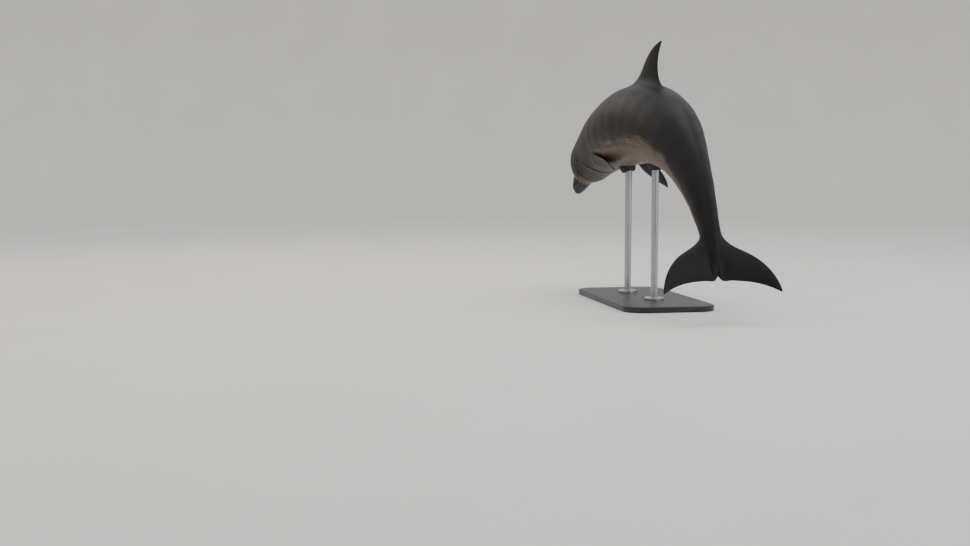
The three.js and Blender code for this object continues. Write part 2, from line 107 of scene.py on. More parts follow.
def smooth(value: np.ndarray, low: float, high: float) -> np.ndarray:
    """Ease from 0 at low to 1 at high."""
    t = np.clip((value - low) / (high - low), 0.0, 1.0)
    return t * t * (3 - 2 * t)


def bump_at(value: np.ndarray, width: float) -> np.ndarray:
    """A soft bump of height 1 at zero, about as wide as width on each side."""
    return np.exp(-((value / width) ** 2))


def uniform_spline(values: np.ndarray, share: np.ndarray) -> np.ndarray:
    """Run a uniform cubic B-spline over its control values.

    Args:
        values: The control values.
        share: Places from 0 to 1 along the run.

    Returns:
        The spline's value at each place.
    """
    spans = len(values) - 3
    place = np.clip(share, 0.0, 1.0) * spans
    span = np.minimum(np.floor(place).astype(int), spans - 1)
    t = place - span
    weights = ((1 - t) ** 3, 3 * t**3 - 6 * t**2 + 4, 3 * t * (1 + t - t * t) + 1, t**3)
    return sum(weight * values[span + i] for i, weight in enumerate(weights)) / 6


def rounded_object(bm: bmesh.types.BMesh, name: str) -> bpy.types.Object:
    """Subdivide a cage once, and hand back an object with the smooth mesh.

    Args:
        bm: The cage, which is freed.
        name: The object's name.

    Returns:
        A linked object with no modifiers.
    """
    mesh = bpy.data.meshes.new(name)
    bm.to_mesh(mesh)
    bm.free()
    made = bpy.data.objects.new(name, mesh)
    bpy.context.scene.collection.objects.link(made)
    subdivision = made.modifiers.new("rounded", "SUBSURF")
    subdivision.levels = subdivision.render_levels = 1
    apply_modifiers(made)
    return made


def apply_modifiers(made: bpy.types.Object) -> None:
    """Bake an object's modifiers into its mesh.

    Args:
        made: The object.
    """
    depsgraph = bpy.context.evaluated_depsgraph_get()
    before = made.data
    after = bpy.data.meshes.new_from_object(made.evaluated_get(depsgraph))
    made.modifiers.clear()
    made.data = after
    bpy.data.meshes.remove(before)


# ------------------------------------------------------------------------------- the pose


@dataclass(frozen=True)
class Spine:
    """The bend of the body, as its direction at even steps from the snout to the notch.

    The angles are in degrees: above level, turned to the left, and rolled with the left side up.
    """

    pitch: tuple[float, ...] = (-66, -45.8, -28.1, -13.4, -2.1, 16.5, 37.4, 52.7, 65.9, 81.2)
    yaw: tuple[float, ...] = (22, 10.1, 8, 8.1, 4.7, 2.1, 1.7, 1.7, 1.7, 1.7)
    roll: tuple[float, ...] = (-5, -5, -4, -8.2, -8.2, -0.2, 0.3, 0.3, 0.3, 0.3)
    held_share: float = 0.45
    held_point: tuple[float, float, float] = (62.6 * MM, 44.2 * MM, 1010 * MM)
    start: float = -0.06
    end: float = 1.1
    steps: int = 580

    def axes(self, share: np.ndarray) -> tuple[np.ndarray, np.ndarray, np.ndarray]:
        """Find the body's own axes at shares of its length.

        Args:
            share: Shares of the length behind the snout.

        Returns:
            Unit vectors forward, to the left and up the back, one row for each share.
        """
        pitch, yaw, roll = (
            np.radians(uniform_spline(np.array(angles, float), share))
            for angles in (self.pitch, self.yaw, self.roll)
        )
        forward = np.stack([np.cos(pitch) * np.cos(yaw), np.cos(pitch) * np.sin(yaw), np.sin(pitch)], -1)
        level = np.stack([-np.sin(yaw), np.cos(yaw), np.zeros_like(yaw)], -1)
        upright = np.cross(forward, level)
        cos, sin = np.cos(roll)[..., None], np.sin(roll)[..., None]
        return forward, level * cos + upright * sin, upright * cos - level * sin

    def bend(self, straight: np.ndarray) -> np.ndarray:
        """Carry points of the straight model to their places in the pose.

        Args:
            straight: Rows of x, y, z in the straight model.

        Returns:
            Rows of x, y, z in the pose.
        """
        shares = np.linspace(self.start, self.end, self.steps + 1)
        forward, _, _ = self.axes((shares[1:] + shares[:-1]) / 2)
        stride = (shares[1] - shares[0]) * LENGTH
        line = np.concatenate([np.zeros((1, 3)), np.cumsum(-forward * stride, axis=0)])
        held = np.array([np.interp(self.held_share, shares, line[:, axis]) for axis in range(3)])
        line += np.array(self.held_point) - held
        share = -straight[:, 0] / LENGTH
        middle = np.stack([np.interp(share, shares, line[:, axis]) for axis in range(3)], -1)
        _, left, up = self.axes(share)
        return middle + left * straight[:, 1:2] + up * straight[:, 2:3]


# ------------------------------------------------------------------------------- the straight form


@dataclass(frozen=True)
class BodyForm:
    """The body's sections from the snout to the notch, joined by one smooth spline.

    Each row holds the place behind the snout, the height of the back and the depth of the belly
    from the axis, half the width, all in percent of the length, and how far the flanks narrow to a
    keel above and below.
    """

    sections: tuple[tuple[float, ...], ...] = (
        (-0.1, 0.0, 0.0, 0.0, 0.0),
        (0.2, 0.85, 1.0, 1.1, 0.0),
        (1.5, 1.4, 1.5, 1.8, 0.0),
        (3.4, 1.75, 1.95, 2.35, 0.0),
        (5.2, 1.9, 2.4, 2.6, 0.0),
        (6.1, 3.7, 2.8, 2.9, 0.0),
        (7.6, 5.8, 3.6, 4.1, 0.0),
        (9.8, 6.8, 4.75, 5.15, 0.0),
        (12.8, 6.95, 5.45, 5.3, 0.0),
        (16.5, 7.2, 6.0, 5.8, 0.0),
        (21.0, 7.8, 6.8, 6.8, 0.0),
        (27.0, 8.4, 7.65, 7.75, 0.0),
        (34.0, 9.2, 8.4, 8.75, 0.0),
        (41.0, 9.65, 8.7, 8.9, 0.0),
        (48.0, 9.55, 8.35, 8.4, 0.0),
        (55.0, 8.9, 7.9, 7.5, 0.05),
        (62.0, 8.3, 6.8, 6.5, 0.12),
        (69.0, 6.9, 5.7, 4.9, 0.2),
        (76.0, 5.5, 4.55, 3.65, 0.28),
        (83.0, 4.25, 3.55, 2.72, 0.32),
        (89.0, 3.1, 2.65, 2.12, 0.28),
        (94.0, 1.9, 1.65, 2.0, 0.12),
        (97.0, 0.85, 0.75, 1.7, 0.0),
        (98.6, 0.38, 0.34, 1.5, 0.0),
        (99.6, 0.16, 0.16, 1.0, 0.0),
        (100.1, 0.0, 0.0, 0.0, 0.0),
    )
    undershot: float = 0.6
    undershot_fade: float = 5 * PERCENT
    table_steps: int = 4000

    def values(self, run: np.ndarray) -> tuple[np.ndarray, ...]:
        """Read the sections at places along the run of the table.

        Args:
            run: Places from 0 at the snout to 1 at the notch.

        Returns:
            Distance behind the snout, back, belly and half width in metres, and the keel.
        """
        found = []
        for column, keys in enumerate(zip(*self.sections)):
            knots = np.array(keys, float)
            sign = 1.0 if column in (0, 4) else -1.0
            controls = np.concatenate([[sign * knots[1]], knots, [sign * knots[-2]]])
            scale = 1.0 if column == 4 else PERCENT
            found.append(uniform_spline(controls, run) * scale)
        return tuple(found)

    def run_at(self, percent: np.ndarray) -> np.ndarray:
        """Find the places along the run that lie at given percents of the length."""
        run = np.linspace(0.0, 1.0, self.table_steps)
        return np.interp(percent * PERCENT, self.values(run)[0], run)

    def at(self, percent: float) -> tuple[float, ...]:
        """Read the section at one percent of the length."""
        return tuple(float(v) for v in self.values(np.array(self.run_at(percent))))

    def skin(self, turn: np.ndarray, run: np.ndarray) -> np.ndarray:
        """Place points on the straight body.

        Args:
            turn: Shares of a turn round the body, 0 at the back and 0.25 on the left.
            run: Places along the run of the table.

        Returns:
            Rows of x, y, z.
        """
        at, back, belly, side, keel = self.values(run)
        rise, across = np.cos(turn * 2 * np.pi), np.sin(turn * 2 * np.pi)
        y = side * across * np.abs(across) ** keel
        z = np.where(rise > 0, back, belly) * rise
        lead = -z * self.undershot * (1 - smooth(at, 0.0, self.undershot_fade))
        return np.stack([lead - at, y, z], -1)


@dataclass(frozen=True)
class Blade:
    """A fin as a blade: two edges, a thickness, and the patch of the body that it grows from.

    The patch is given by its percents of the length, the column of the ring at its middle, and how
    many columns it takes on each side.
    """

    first: float = 0.0
    last: float = 1.0
    column: int = 0
    reach: int = 2
    fillet_levels: int = 4
    softening: int = 4
    softened_rings: int = 2
    root_thickness: float = 30 * MM
    tip_thickness: float = 5 * MM
    heights: tuple[float, ...] = (0.08, 0.13, 0.2, 0.28, 0.37, 0.46, 0.55, 0.64, 0.72, 0.8, 0.87, 0.93, 0.975)

    def edges(self, s: float) -> tuple[np.ndarray, np.ndarray]:
        """Give the leading and trailing edge at a share of the height."""
        raise NotImplementedError

    def normal(self) -> np.ndarray:
        """Give the direction across the blade, towards the ring's higher columns."""
        raise NotImplementedError

    def ease(self, level: int) -> float:
        """Give how far a level has turned from the patch's outline into the blade, 0 to 1."""
        t = min(1.0, (level + 1) / self.fillet_levels)
        return 1 - (1 - t) ** 2.2

    def place(self, chord: float, side: float, s: float) -> np.ndarray:
        """Place one point of the blade.

        Args:
            chord: Share of the chord, 0 at the leading edge.
            side: From -1 to 1 across the thickness.
            s: Share of the height.

        Returns:
            A point of the straight model.
        """
        lead, trail = self.edges(s)
        foil = 1.3 * math.sqrt(chord) * (1 - chord) ** 0.85 + 0.06 * math.sqrt(chord * (1 - chord))
        thick = self.root_thickness + (self.tip_thickness - self.root_thickness) * s**0.8
        return lead + (trail - lead) * chord + self.normal() * (side * thick * foil)


@dataclass(frozen=True)
class DorsalFin(Blade):
    """The dorsal fin, hooked back, with its foot run out along the back."""

    form: BodyForm = field(default_factory=BodyForm)
    first: float = 40.4
    last: float = 54.2
    reach: int = 2
    height: float = 256 * MM
    sink: float = 14 * MM
    root: tuple[float, float] = (43.7, 52.7)
    tip: float = 52.9
    hollow: float = 1.25
    rounding: float = 1.0
    flare: tuple[float, float] = (4.2, 2.0)
    root_thickness: float = 38 * MM
    tip_thickness: float = 6 * MM

    def on_back(self, percent: float, s: float) -> np.ndarray:
        """Place a point of the midline above the back."""
        foot = self.form.at(min(percent, 60.0))[1] - self.sink
        return np.array([-percent * PERCENT, 0.0, foot + (self.height + self.sink) * s])

    def edges(self, s: float) -> tuple[np.ndarray, np.ndarray]:
        """Give the leading and trailing edge at a share of the height.

        Args:
            s: Share of the way from the root to the tip.

        Returns:
            The two points of the straight model.
        """
        front = self.root[0] + (self.tip - self.root[0]) * (0.8 * s + 0.2 * s**5)
        front -= self.flare[0] * math.exp(-s / 0.09) * (1 - s) + self.rounding * math.sqrt(1 - s)
        rear = self.root[1] + (self.tip - self.root[1]) * s**2.2
        rear -= self.hollow * math.sin(math.pi * s)
        rear += self.flare[1] * math.exp(-s / 0.08) * (1 - s)
        return self.on_back(front, s), self.on_back(rear, s)

    def normal(self) -> np.ndarray:
        """Give the direction across the blade, towards the ring's higher columns."""
        return np.array([0.0, 1.0, 0.0])


@dataclass(frozen=True)
class Fluke(Blade):
    """One fluke, from the middle of the tail to its tip."""

    left: bool = True
    first: float = 91.6
    last: float = 99.5
    reach: int = 5
    span: float = 620 * MM
    front: float = 93.5
    tip: float = 104.1
    flare: float = 2.25
    bulge: float = 0.9
    lift: float = 43 * MM
    roundness: float = 1.17
    root: float = 30 * MM
    root_thickness: float = 34 * MM
    tip_thickness: float = 5 * MM
    heights: tuple[float, ...] = (
        0.13, 0.18, 0.24, 0.31, 0.39, 0.47, 0.55, 0.63, 0.71, 0.78, 0.85, 0.91, 0.955,
    )

    def on_tail(self, percent: float, y: float) -> np.ndarray:
        """Place a point of the fluke's middle sheet."""
        rise = self.lift * (y / (self.span / 2)) ** 2
        return np.array([-percent * PERCENT, y if self.left else -y, rise])

    def edges(self, s: float) -> tuple[np.ndarray, np.ndarray]:
        """Give the leading and trailing edge at a share of the span.

        Args:
            s: Share of the way from the root to the tip.

        Returns:
            The two points of the straight model.
        """
        half = self.span / 2
        turn = s * math.pi / 2
        front = self.tip - (self.tip - self.front) * math.cos(turn) ** self.roundness
        front -= self.flare * math.exp(-s / 0.07) * (1 - s)
        swell = self.bulge * math.sin(math.pi / 2 * min(1.0, s / 0.2))
        rear = 100 + swell * (1 - s**3) + (self.tip - 100) * s**3
        lead = self.on_tail(front, self.root + (half - self.root) * math.sin(turn))
        return lead, self.on_tail(rear, (half + 2 * MM) * s - 2 * MM)

    def normal(self) -> np.ndarray:
        """Give the direction across the blade, towards the ring's higher columns."""
        return np.array([0.0, 0.0, -1.0 if self.left else 1.0])


@dataclass(frozen=True)
class Flipper(Blade):
    """One flipper, held out from the chest by three angles in degrees."""

    form: BodyForm = field(default_factory=BodyForm)
    left: bool = True
    at: float = 24.5
    length: float = 368 * MM
    width: float = 136 * MM
    low: float = 0.57
    out: float = 0.78
    droop: float = 82.0
    sweep: float = 38.0
    twist: float = 0.0
    hook: float = 0.28
    # How much narrower the blade is at its root, and the share of the length where it is full.
    shoulder: tuple[float, float] = (0.62, 0.25)
    root_thickness: float = 30 * MM
    tip_thickness: float = 5 * MM
    around: int = 28
    root_depth: float = 45 * MM
    root_flare: float = 0.7
    heights: tuple[float, ...] = (
        0.0, 0.03, 0.06, 0.1, 0.15, 0.21, 0.28, 0.36, 0.44,
        0.52, 0.6, 0.68, 0.76, 0.83, 0.89, 0.94, 0.975, 0.995,
    )

    def directions(self) -> tuple[np.ndarray, np.ndarray]:
        """Give the directions along the flipper and back across its chord.

        Returns:
            Two unit vectors of the straight model.
        """
        side = 1.0 if self.left else -1.0
        droop, sweep, twist = (math.radians(angle) for angle in (self.droop, self.sweep, self.twist))
        out = np.array([0.0, side * math.cos(droop), -math.sin(droop)])
        along = out * math.cos(sweep) + np.array([-math.sin(sweep), 0.0, 0.0])
        back = -out * math.sin(sweep) + np.array([-math.cos(sweep), 0.0, 0.0])
        angle = side * twist
        return along, back * math.cos(angle) + np.cross(along, back) * math.sin(angle)

    def edges(self, s: float) -> tuple[np.ndarray, np.ndarray]:
        """Give the leading and trailing edge at a share of the length.

        Args:
            s: Share of the way from the root to the tip.

        Returns:
            The two points of the straight model.
        """
        along, back = self.directions()
        _, _, belly, half, _ = self.form.at(self.at)
        side = 1.0 if self.left else -1.0
        root = np.array([-self.at * PERCENT, side * half * self.out, -belly * self.low])
        middle = root + along * (self.length * s) + back * (self.length * self.hook * s**2.2)
        narrow, end = self.shoulder
        width = self.width * (narrow + (1 - narrow) * float(smooth(np.array(s), 0.0, end)))
        rear = width * (math.sqrt(max(0.0, 1 - s**2.4)) - 0.5)
        return middle - back * (width / 2), middle + back * rear

    def normal(self) -> np.ndarray:
        """Give the direction across the blade, towards the ring's higher columns.

        Returns:
            A unit vector of the straight model.
        """
        along, back = self.directions()
        across = np.cross(along, back)
        return -across / np.linalg.norm(across)

    def share_of(self, points: np.ndarray) -> np.ndarray:
        """Give 1 for points on the blade and 0 for those off it, with a soft edge at its root.

        Args:
            points: Rows of x, y, z in the straight model.

        Returns:
            One value for each point.
        """
        along, _ = self.directions()
        away = points - self.place(0.5, 0.0, 0.0)
        thickness = np.abs(away @ self.normal())
        own_side = points[:, 1] > 0 if self.left else points[:, 1] < 0
        along_it = smooth(away @ along, 0.0, 55 * MM)
        return np.where(own_side, along_it * (1 - smooth(thickness, 26 * MM, 40 * MM)), 0.0)

    def level(self, s: float) -> list[Vector]:
        """Place one loop round the blade, flared where it leaves the chest.

        Args:
            s: Share of the length.

        Returns:
            The loop's places, from the leading edge and round.
        """
        flare = 1 + self.root_flare * math.exp(-s / 0.06)
        middle = Vector(self.place(0.5, 0.0, s))
        points = []
        for k in range(self.around):
            chord = (1 - math.cos(2 * math.pi * k / self.around)) / 2
            side = 1.0 if k <= self.around / 2 else -1.0
            on_blade = Vector(self.place(chord, side * flare, s))
            points.append(middle.lerp(on_blade, 1 + 0.12 * (flare - 1)))
        return points

    def solid(self) -> bpy.types.Object:
        """Build the flipper as a closed, rounded blade, with its root deep in the chest.

        Returns:
            A linked object with the closed mesh.
        """
        side = 1.0 if self.left else -1.0
        _, _, belly, half, _ = self.form.at(self.at)
        inward = Vector((0.0, -side * half * self.out, belly * self.low)).normalized() * self.root_depth
        levels = [[p + inward for p in self.level(0.0)], *(self.level(s) for s in self.heights)]
        levels.append([Vector(self.place(0.5, 0.0, 1.0))] * self.around)
        bm = bmesh.new()
        loop = list(bmesh.ops.create_circle(bm, segments=self.around, radius=1.0, cap_ends=True)["verts"])
        for number, points in enumerate(levels):
            if number:
                edges = SkinCage.loop_edges(loop)
                grown = bmesh.ops.extrude_edge_only(bm, edges=edges)["geom"]
                fresh = {v for v in grown if isinstance(v, bmesh.types.BMVert)}
                loop = SkinCage.grown_loop(loop, fresh)
            for vert, point in zip(loop, points):
                vert.co = point
        bmesh.ops.pointmerge(bm, verts=loop, merge_co=levels[-1][0])
        bmesh.ops.recalc_face_normals(bm, faces=bm.faces[:])
        return rounded_object(bm, "flipper")


# ------------------------------------------------------------------------------- the skin's mesh


@dataclass
class SkinCage:
    """The quad cage of the whole animal: a tube of rings with the fins drawn out of it."""

    form: BodyForm = field(default_factory=BodyForm)
    ring: int = 64
    head_end: float = 20.0
    head_rows: int = 60
    body_rows: int = 92
    tail_rows: int = 14
    tail_start: float = 91.6

    def stations(self) -> list[float]:
        """List the places of the rings along the run, from the snout to the notch.

        Returns:
            The places, from 0 to 1.
        """
        head = np.linspace(0.0, float(self.form.run_at(self.head_end)), self.head_rows, endpoint=False)[1:]
        body = self.form.run_at(np.linspace(self.head_end, self.tail_start, self.body_rows, endpoint=False))
        tail = self.form.run_at(np.linspace(self.tail_start, 99.5, self.tail_rows + 1))
        end = [float(self.form.run_at(99.8)), float(self.form.run_at(99.95))]
        return [*head, *body, *tail, *end]

    def ring_places(self, run: float) -> list[Vector]:
        """Place one ring of the tube."""
        turns = np.arange(self.ring) / self.ring
        return [Vector(row) for row in self.form.skin(turns, np.full(self.ring, run))]

    def draw_tube(self, bm: bmesh.types.BMesh, stations: list[float]) -> list[Loop]:
        """Draw the body out of one circle, ring after ring, and close both ends.

        Args:
            bm: The mesh to draw in.
            stations: The rings' places along the run.

        Returns:
            The rings, from the snout to the notch.
        """
        first = bmesh.ops.create_circle(bm, segments=self.ring, radius=1.0, cap_ends=False)["verts"]
        rings = [list(first)]
        for _ in stations[1:]:
            edges = self.loop_edges(rings[-1])
            grown = bmesh.ops.extrude_edge_only(bm, edges=edges)["geom"]
            fresh = {v for v in grown if isinstance(v, bmesh.types.BMVert)}
            rings.append(self.grown_loop(rings[-1], fresh))
        for ring, run in zip(rings, stations):
            for vert, place in zip(ring, self.ring_places(run)):
                vert.co = place
        for ring, run in ((rings[0], 0.0), (rings[-1], 1.0)):
            cap = bmesh.ops.extrude_edge_only(bm, edges=self.loop_edges(ring))["geom"]
            tip = [v for v in cap if isinstance(v, bmesh.types.BMVert)]
            pole = Vector(self.form.skin(np.zeros(1), np.array([run]))[0])
            bmesh.ops.pointmerge(bm, verts=tip, merge_co=pole)
        return rings

    @staticmethod
    def grown_loop(loop: Loop, fresh: set[bmesh.types.BMVert]) -> Loop:
        """Follow a loop to the loop that was just extruded out of it.

        Args:
            loop: The loop before.
            fresh: The vertices that the extrusion made.

        Returns:
            The new loop, in the same order.
        """
        return [next(e.other_vert(v) for e in v.link_edges if e.other_vert(v) in fresh) for v in loop]

    @staticmethod
    def loop_edges(loop: Loop) -> list[bmesh.types.BMEdge]:
        """List the edges of a closed loop, in order."""
        pairs = zip(loop, loop[1:] + loop[:1])
        return [next(e for e in a.link_edges if e.other_vert(a) == b) for a, b in pairs]

    def patch_loop(self, rings: list[Loop], rows: list[int], columns: list[int]) -> Loop:
        """List a patch's outline, from the middle of its front, along its higher columns.

        Args:
            rings: The tube's rings.
            rows: The rings that the patch runs over, front to rear.
            columns: The columns that it takes, low to high.

        Returns:
            The vertices of the outline, in order.
        """
        half = len(columns) // 2
        take = lambda row, column: rings[row][column % self.ring]
        front_high = [take(rows[0], c) for c in columns[half:]]
        side_high = [take(r, columns[-1]) for r in rows[1:-1]]
        rear = [take(rows[-1], c) for c in reversed(columns)]
        side_low = [take(r, columns[0]) for r in reversed(rows[1:-1])]
        front_low = [take(rows[0], c) for c in columns[:half]]
        return [*front_high, *side_high, *rear, *side_low, *front_low]

    def draw_blade(self, bm: bmesh.types.BMesh, rings: list[Loop], stations: list[float], blade: Blade) -> None:
        """Draw a fin out of its patch of the tube, loop after loop, up to a rounded tip.

        Args:
            bm: The mesh to draw in.
            rings: The tube's rings.
            stations: The rings' places along the run.
            blade: The fin.
        """
        percents = self.form.values(np.array(stations))[0] / PERCENT
        chordwise, across, fin = (bm.verts.layers.float[name] for name in ("chordwise", "across", "fin"))
        rows = [i for i, p in enumerate(percents) if blade.first - 0.01 <= p <= blade.last + 0.01]
        columns = list(range(blade.column - blade.reach, blade.column + blade.reach + 1))
        for i, row in enumerate(rows):
            for j, column in enumerate(columns):
                vert = rings[row][column % self.ring]
                vert[chordwise] = i / (len(rows) - 1)
                vert[across] = j / blade.reach - 1
            self.narrow(rings[row], stations[row], blade, i / (len(rows) - 1))
        loop = self.patch_loop(rings, rows, columns)
        faces = self.patch_faces(rings, rows, columns)
        soft = {v for f in faces for v in f.verts}
        for _ in range(blade.softened_rings):
            soft |= {e.other_vert(v) for v in soft for e in v.link_edges}
        foot = [v.co.copy() for v in loop]
        base = Vector(blade.place(0.5, 0.0, blade.heights[0] * 0.4))
        for level, s in enumerate(blade.heights):
            grown = bmesh.ops.extrude_face_region(bm, geom=faces)["geom"]
            bmesh.ops.delete(bm, geom=faces, context="FACES")
            faces = [g for g in grown if isinstance(g, bmesh.types.BMFace)]
            fresh = {v for f in faces for v in f.verts}
            loop = self.grown_loop(loop, fresh)
            ease = blade.ease(level)
            lift = Vector(blade.place(0.5, 0.0, s)) - base
            for k, vert in enumerate(loop):
                chord = (1 - math.cos(2 * math.pi * k / len(loop))) / 2
                side = 1.0 if k <= len(loop) / 2 else -1.0
                vert.co = (foot[k] + lift * 0.5).lerp(Vector(blade.place(chord, side, s)), ease)
            for vert in fresh:
                vert[fin] = ease
            soft = {v for v in soft if v.is_valid}
            if level < blade.softened_rings:
                soft |= set(loop)
        rim = set(loop)
        margin = blade.reach / (len(rows) - 1 + 2 * blade.reach)
        for vert in fresh - rim:
            angle = math.pi * (margin + (1 - 2 * margin) * vert[chordwise])
            dome = (1 - vert[across] ** 2) * math.sin(angle) ** 2
            height = blade.heights[-1] + (1 - blade.heights[-1]) * 0.7 * dome
            vert.co = Vector(blade.place((1 - math.cos(angle)) / 2, 0.9 * vert[across], height))
        kept = [v for v in soft if v not in fresh]
        for _ in range(blade.softening):
            axes = {"use_axis_x": True, "use_axis_y": True, "use_axis_z": True}
            bmesh.ops.smooth_vert(bm, verts=kept, factor=0.5, **axes)

    def narrow(self, ring: Loop, station: float, blade: Blade, share: float) -> None:
        """Draw a ring's columns in towards a fin's middle, so that its patch is shaped like a lens.

        Args:
            ring: One of the patch's rings.
            station: The ring's place along the run.
            blade: The fin.
            share: The ring's place in the patch, 0 at its front and 1 at its rear.
        """
        width = 0.35 + 0.65 * math.sin(math.pi * share) ** 0.7
        for shift in range(-blade.reach - 5, blade.reach + 6):
            beyond = float(smooth(np.array(abs(shift)), blade.reach, blade.reach + 6))
            turn = (blade.column + shift * (width + (1 - width) * beyond)) / self.ring
            vert = ring[(blade.column + shift) % self.ring]
            vert.co = self.form.skin(np.array([turn]), np.array([station]))[0]

    def patch_faces(self, rings: list[Loop], rows: list[int], columns: list[int]) -> list[bmesh.types.BMFace]:
        """List the faces of a patch of the tube.

        Args:
            rings: The tube's rings.
            rows: The rings that the patch spans.
            columns: The columns that it spans.

        Returns:
            The faces.
        """
        found = []
        for row, next_row in zip(rows, rows[1:]):
            for column, next_column in zip(columns, columns[1:]):
                corner = set(rings[row][column % self.ring].link_faces)
                found += corner & set(rings[next_row][next_column % self.ring].link_faces)
        return found

    def build(self, blades: list[Blade]) -> bmesh.types.BMesh:
        """Build the whole cage.

        Args:
            blades: The fins to draw out of the tube.

        Returns:
            A closed quad mesh of the straight animal.
        """
        bm = bmesh.new()
        for name in ("chordwise", "across", "fin"):
            bm.verts.layers.float.new(name)
        stations = self.stations()
        rings = self.draw_tube(bm, stations)
        for blade in blades:
            self.draw_blade(bm, rings, stations, blade)
        bmesh.ops.recalc_face_normals(bm, faces=bm.faces[:])
        return bm


# ------------------------------------------------------------------------------- the skin's details


@dataclass(frozen=True)
class Relief:
    """The small forms of the skin: mouth, eyelids, blowhole, folds and slits.

    Places are in percent of the length and depths in metres, all on the straight body.
    """

    form: BodyForm = field(default_factory=BodyForm)
    mouth: tuple[tuple[float, float], ...] = (
        (-4, -0.15), (0, -0.15), (2.5, -0.4), (5, -1.15), (7.5, -2.1), (9.6, -2.6), (11, -2.55), (12.1, -2.1),
    )
    mouth_depth: float = 4.2 * MM
    lip_height: float = 1.6 * MM
    eye_at: float = 13.5
    eye_height: float = -0.4
    eye_size: tuple[float, float] = (14.5 * MM, 9.5 * MM)
    blowhole_at: float = 15.4
    blowhole_radius: float = 21 * MM
    ear_at: float = 16.6
    ear_height: float = -1.3
    throat_folds: tuple[tuple[float, float, float, float], ...] = (
        # place at the belly's middle, shift by the middle of the flank, depth, width
        (4.3, 3.6, 3.0 * MM, 7 * MM),
        (11.6, 2.2, 1.8 * MM, 12 * MM),
        (19.4, -4.4, 4.5 * MM, 13 * MM),
        (23.0, -2.4, 1.8 * MM, 11 * MM),
    )
    navel_at: float = 48.0
    slit_from: float = 64.5
    slit_to: float = 68.8

    def mouth_height(self, percent: np.ndarray) -> np.ndarray:
        """Give the height of the mouth line, in metres, at percents of the length.

        Args:
            percent: Percents of the length.

        Returns:
            One height for each.
        """
        places, heights = (np.array(column, float) for column in zip(*self.mouth))
        fine = np.linspace(places[0], places[-1], 200)
        eased = np.interp(fine, places, heights)
        kernel = np.hanning(21) / np.hanning(21).sum()
        padded = np.pad(eased, 10, mode="reflect", reflect_type="odd")
        return np.interp(percent, fine, np.convolve(padded, kernel, mode="valid")) * PERCENT

    def coordinates(self, points: np.ndarray) -> tuple[np.ndarray, ...]:
        """Describe points of the straight animal by where they are on the body.

        Args:
            points: Rows of x, y, z in the straight model.

        Returns:
            Percent of the length, height as a share of the back or belly, and how far out the
            point is as a share of the body's own radius there.
        """
        percent = -points[:, 0] / PERCENT
        for _ in range(3):
            lead = -points[:, 2] * self.form.undershot
            fade = 1 - smooth(percent * PERCENT, 0.0, self.form.undershot_fade)
            percent = (-points[:, 0] + lead * fade) / PERCENT
        _, back, belly, side, _ = self.form.values(self.form.run_at(np.clip(percent, 0.3, 99.0)))
        height = points[:, 2] / np.maximum(np.where(points[:, 2] > 0, back, belly), 4 * MM)
        out = np.hypot(points[:, 1] / np.maximum(side, 4 * MM), height)
        return percent, height, out

    def eye_reach(self, points: np.ndarray, percent: np.ndarray) -> np.ndarray:
        """Give each point's distance from its eye's middle, where 1 is the rim of the lids.

        Args:
            points: Rows of x, y, z in the straight model.
            percent: Their percents of the length.

        Returns:
            One value for each point.
        """
        along = (percent - self.eye_at) * PERCENT
        up = points[:, 2] - self.eye_height * PERCENT - 0.12 * along
        closing = 1 - 0.2 * np.minimum(1.0, (along / self.eye_size[0]) ** 2)
        return np.hypot(along / self.eye_size[0], up / (self.eye_size[1] * closing))

    def mouth_window(self, percent: np.ndarray) -> np.ndarray:
        """Give 1 along the mouth, and 0 behind its corner."""
        return 1 - smooth(percent, self.mouth[-1][0] - 1.1, self.mouth[-1][0] + 0.1)

    def blowhole_distance(self, points: np.ndarray) -> tuple[np.ndarray, np.ndarray]:
        """Give each point's distance from the blowhole's crescent and from its middle.

        Args:
            points: Rows of x, y, z in the straight model.

        Returns:
            Two distances in metres for each point.
        """
        x = points[:, 0] + self.blowhole_at * PERCENT
        y = points[:, 1]
        ahead = x - self.blowhole_radius
        radius = np.hypot(ahead, y)
        angle = np.abs(np.arctan2(y, -ahead))
        beyond = np.clip(angle - math.radians(58), 0.0, None) * self.blowhole_radius
        return np.hypot(radius - self.blowhole_radius, beyond), np.hypot(x - 6 * MM, y)

    def offsets(self, points: np.ndarray, fin: np.ndarray) -> np.ndarray:
        """Work out how far each point of the skin moves out along its normal.

        Args:
            points: Rows of x, y, z in the straight model.
            fin: For each point, 0 on the body and 1 on a fin.

        Returns:
            Metres outward, one for each point.
        """
        percent, height, _ = self.coordinates(points)
        body = 1 - smooth(fin, 0.05, 0.5)
        total = np.zeros(len(points))

        gap = points[:, 2] - self.mouth_height(percent)
        window = self.mouth_window(percent)
        groove = bump_at(gap, 2.4 * MM) * self.mouth_depth
        lips = bump_at(gap - 8 * MM, 6 * MM) * 0.7 + bump_at(gap + 8 * MM, 6 * MM)
        total += window * (lips * self.lip_height * smooth(percent, 0.2, 2.0) - groove)
        corner = np.hypot((percent - 12.3) * PERCENT, gap)
        total -= bump_at(corner, 9 * MM) * 1.6 * MM

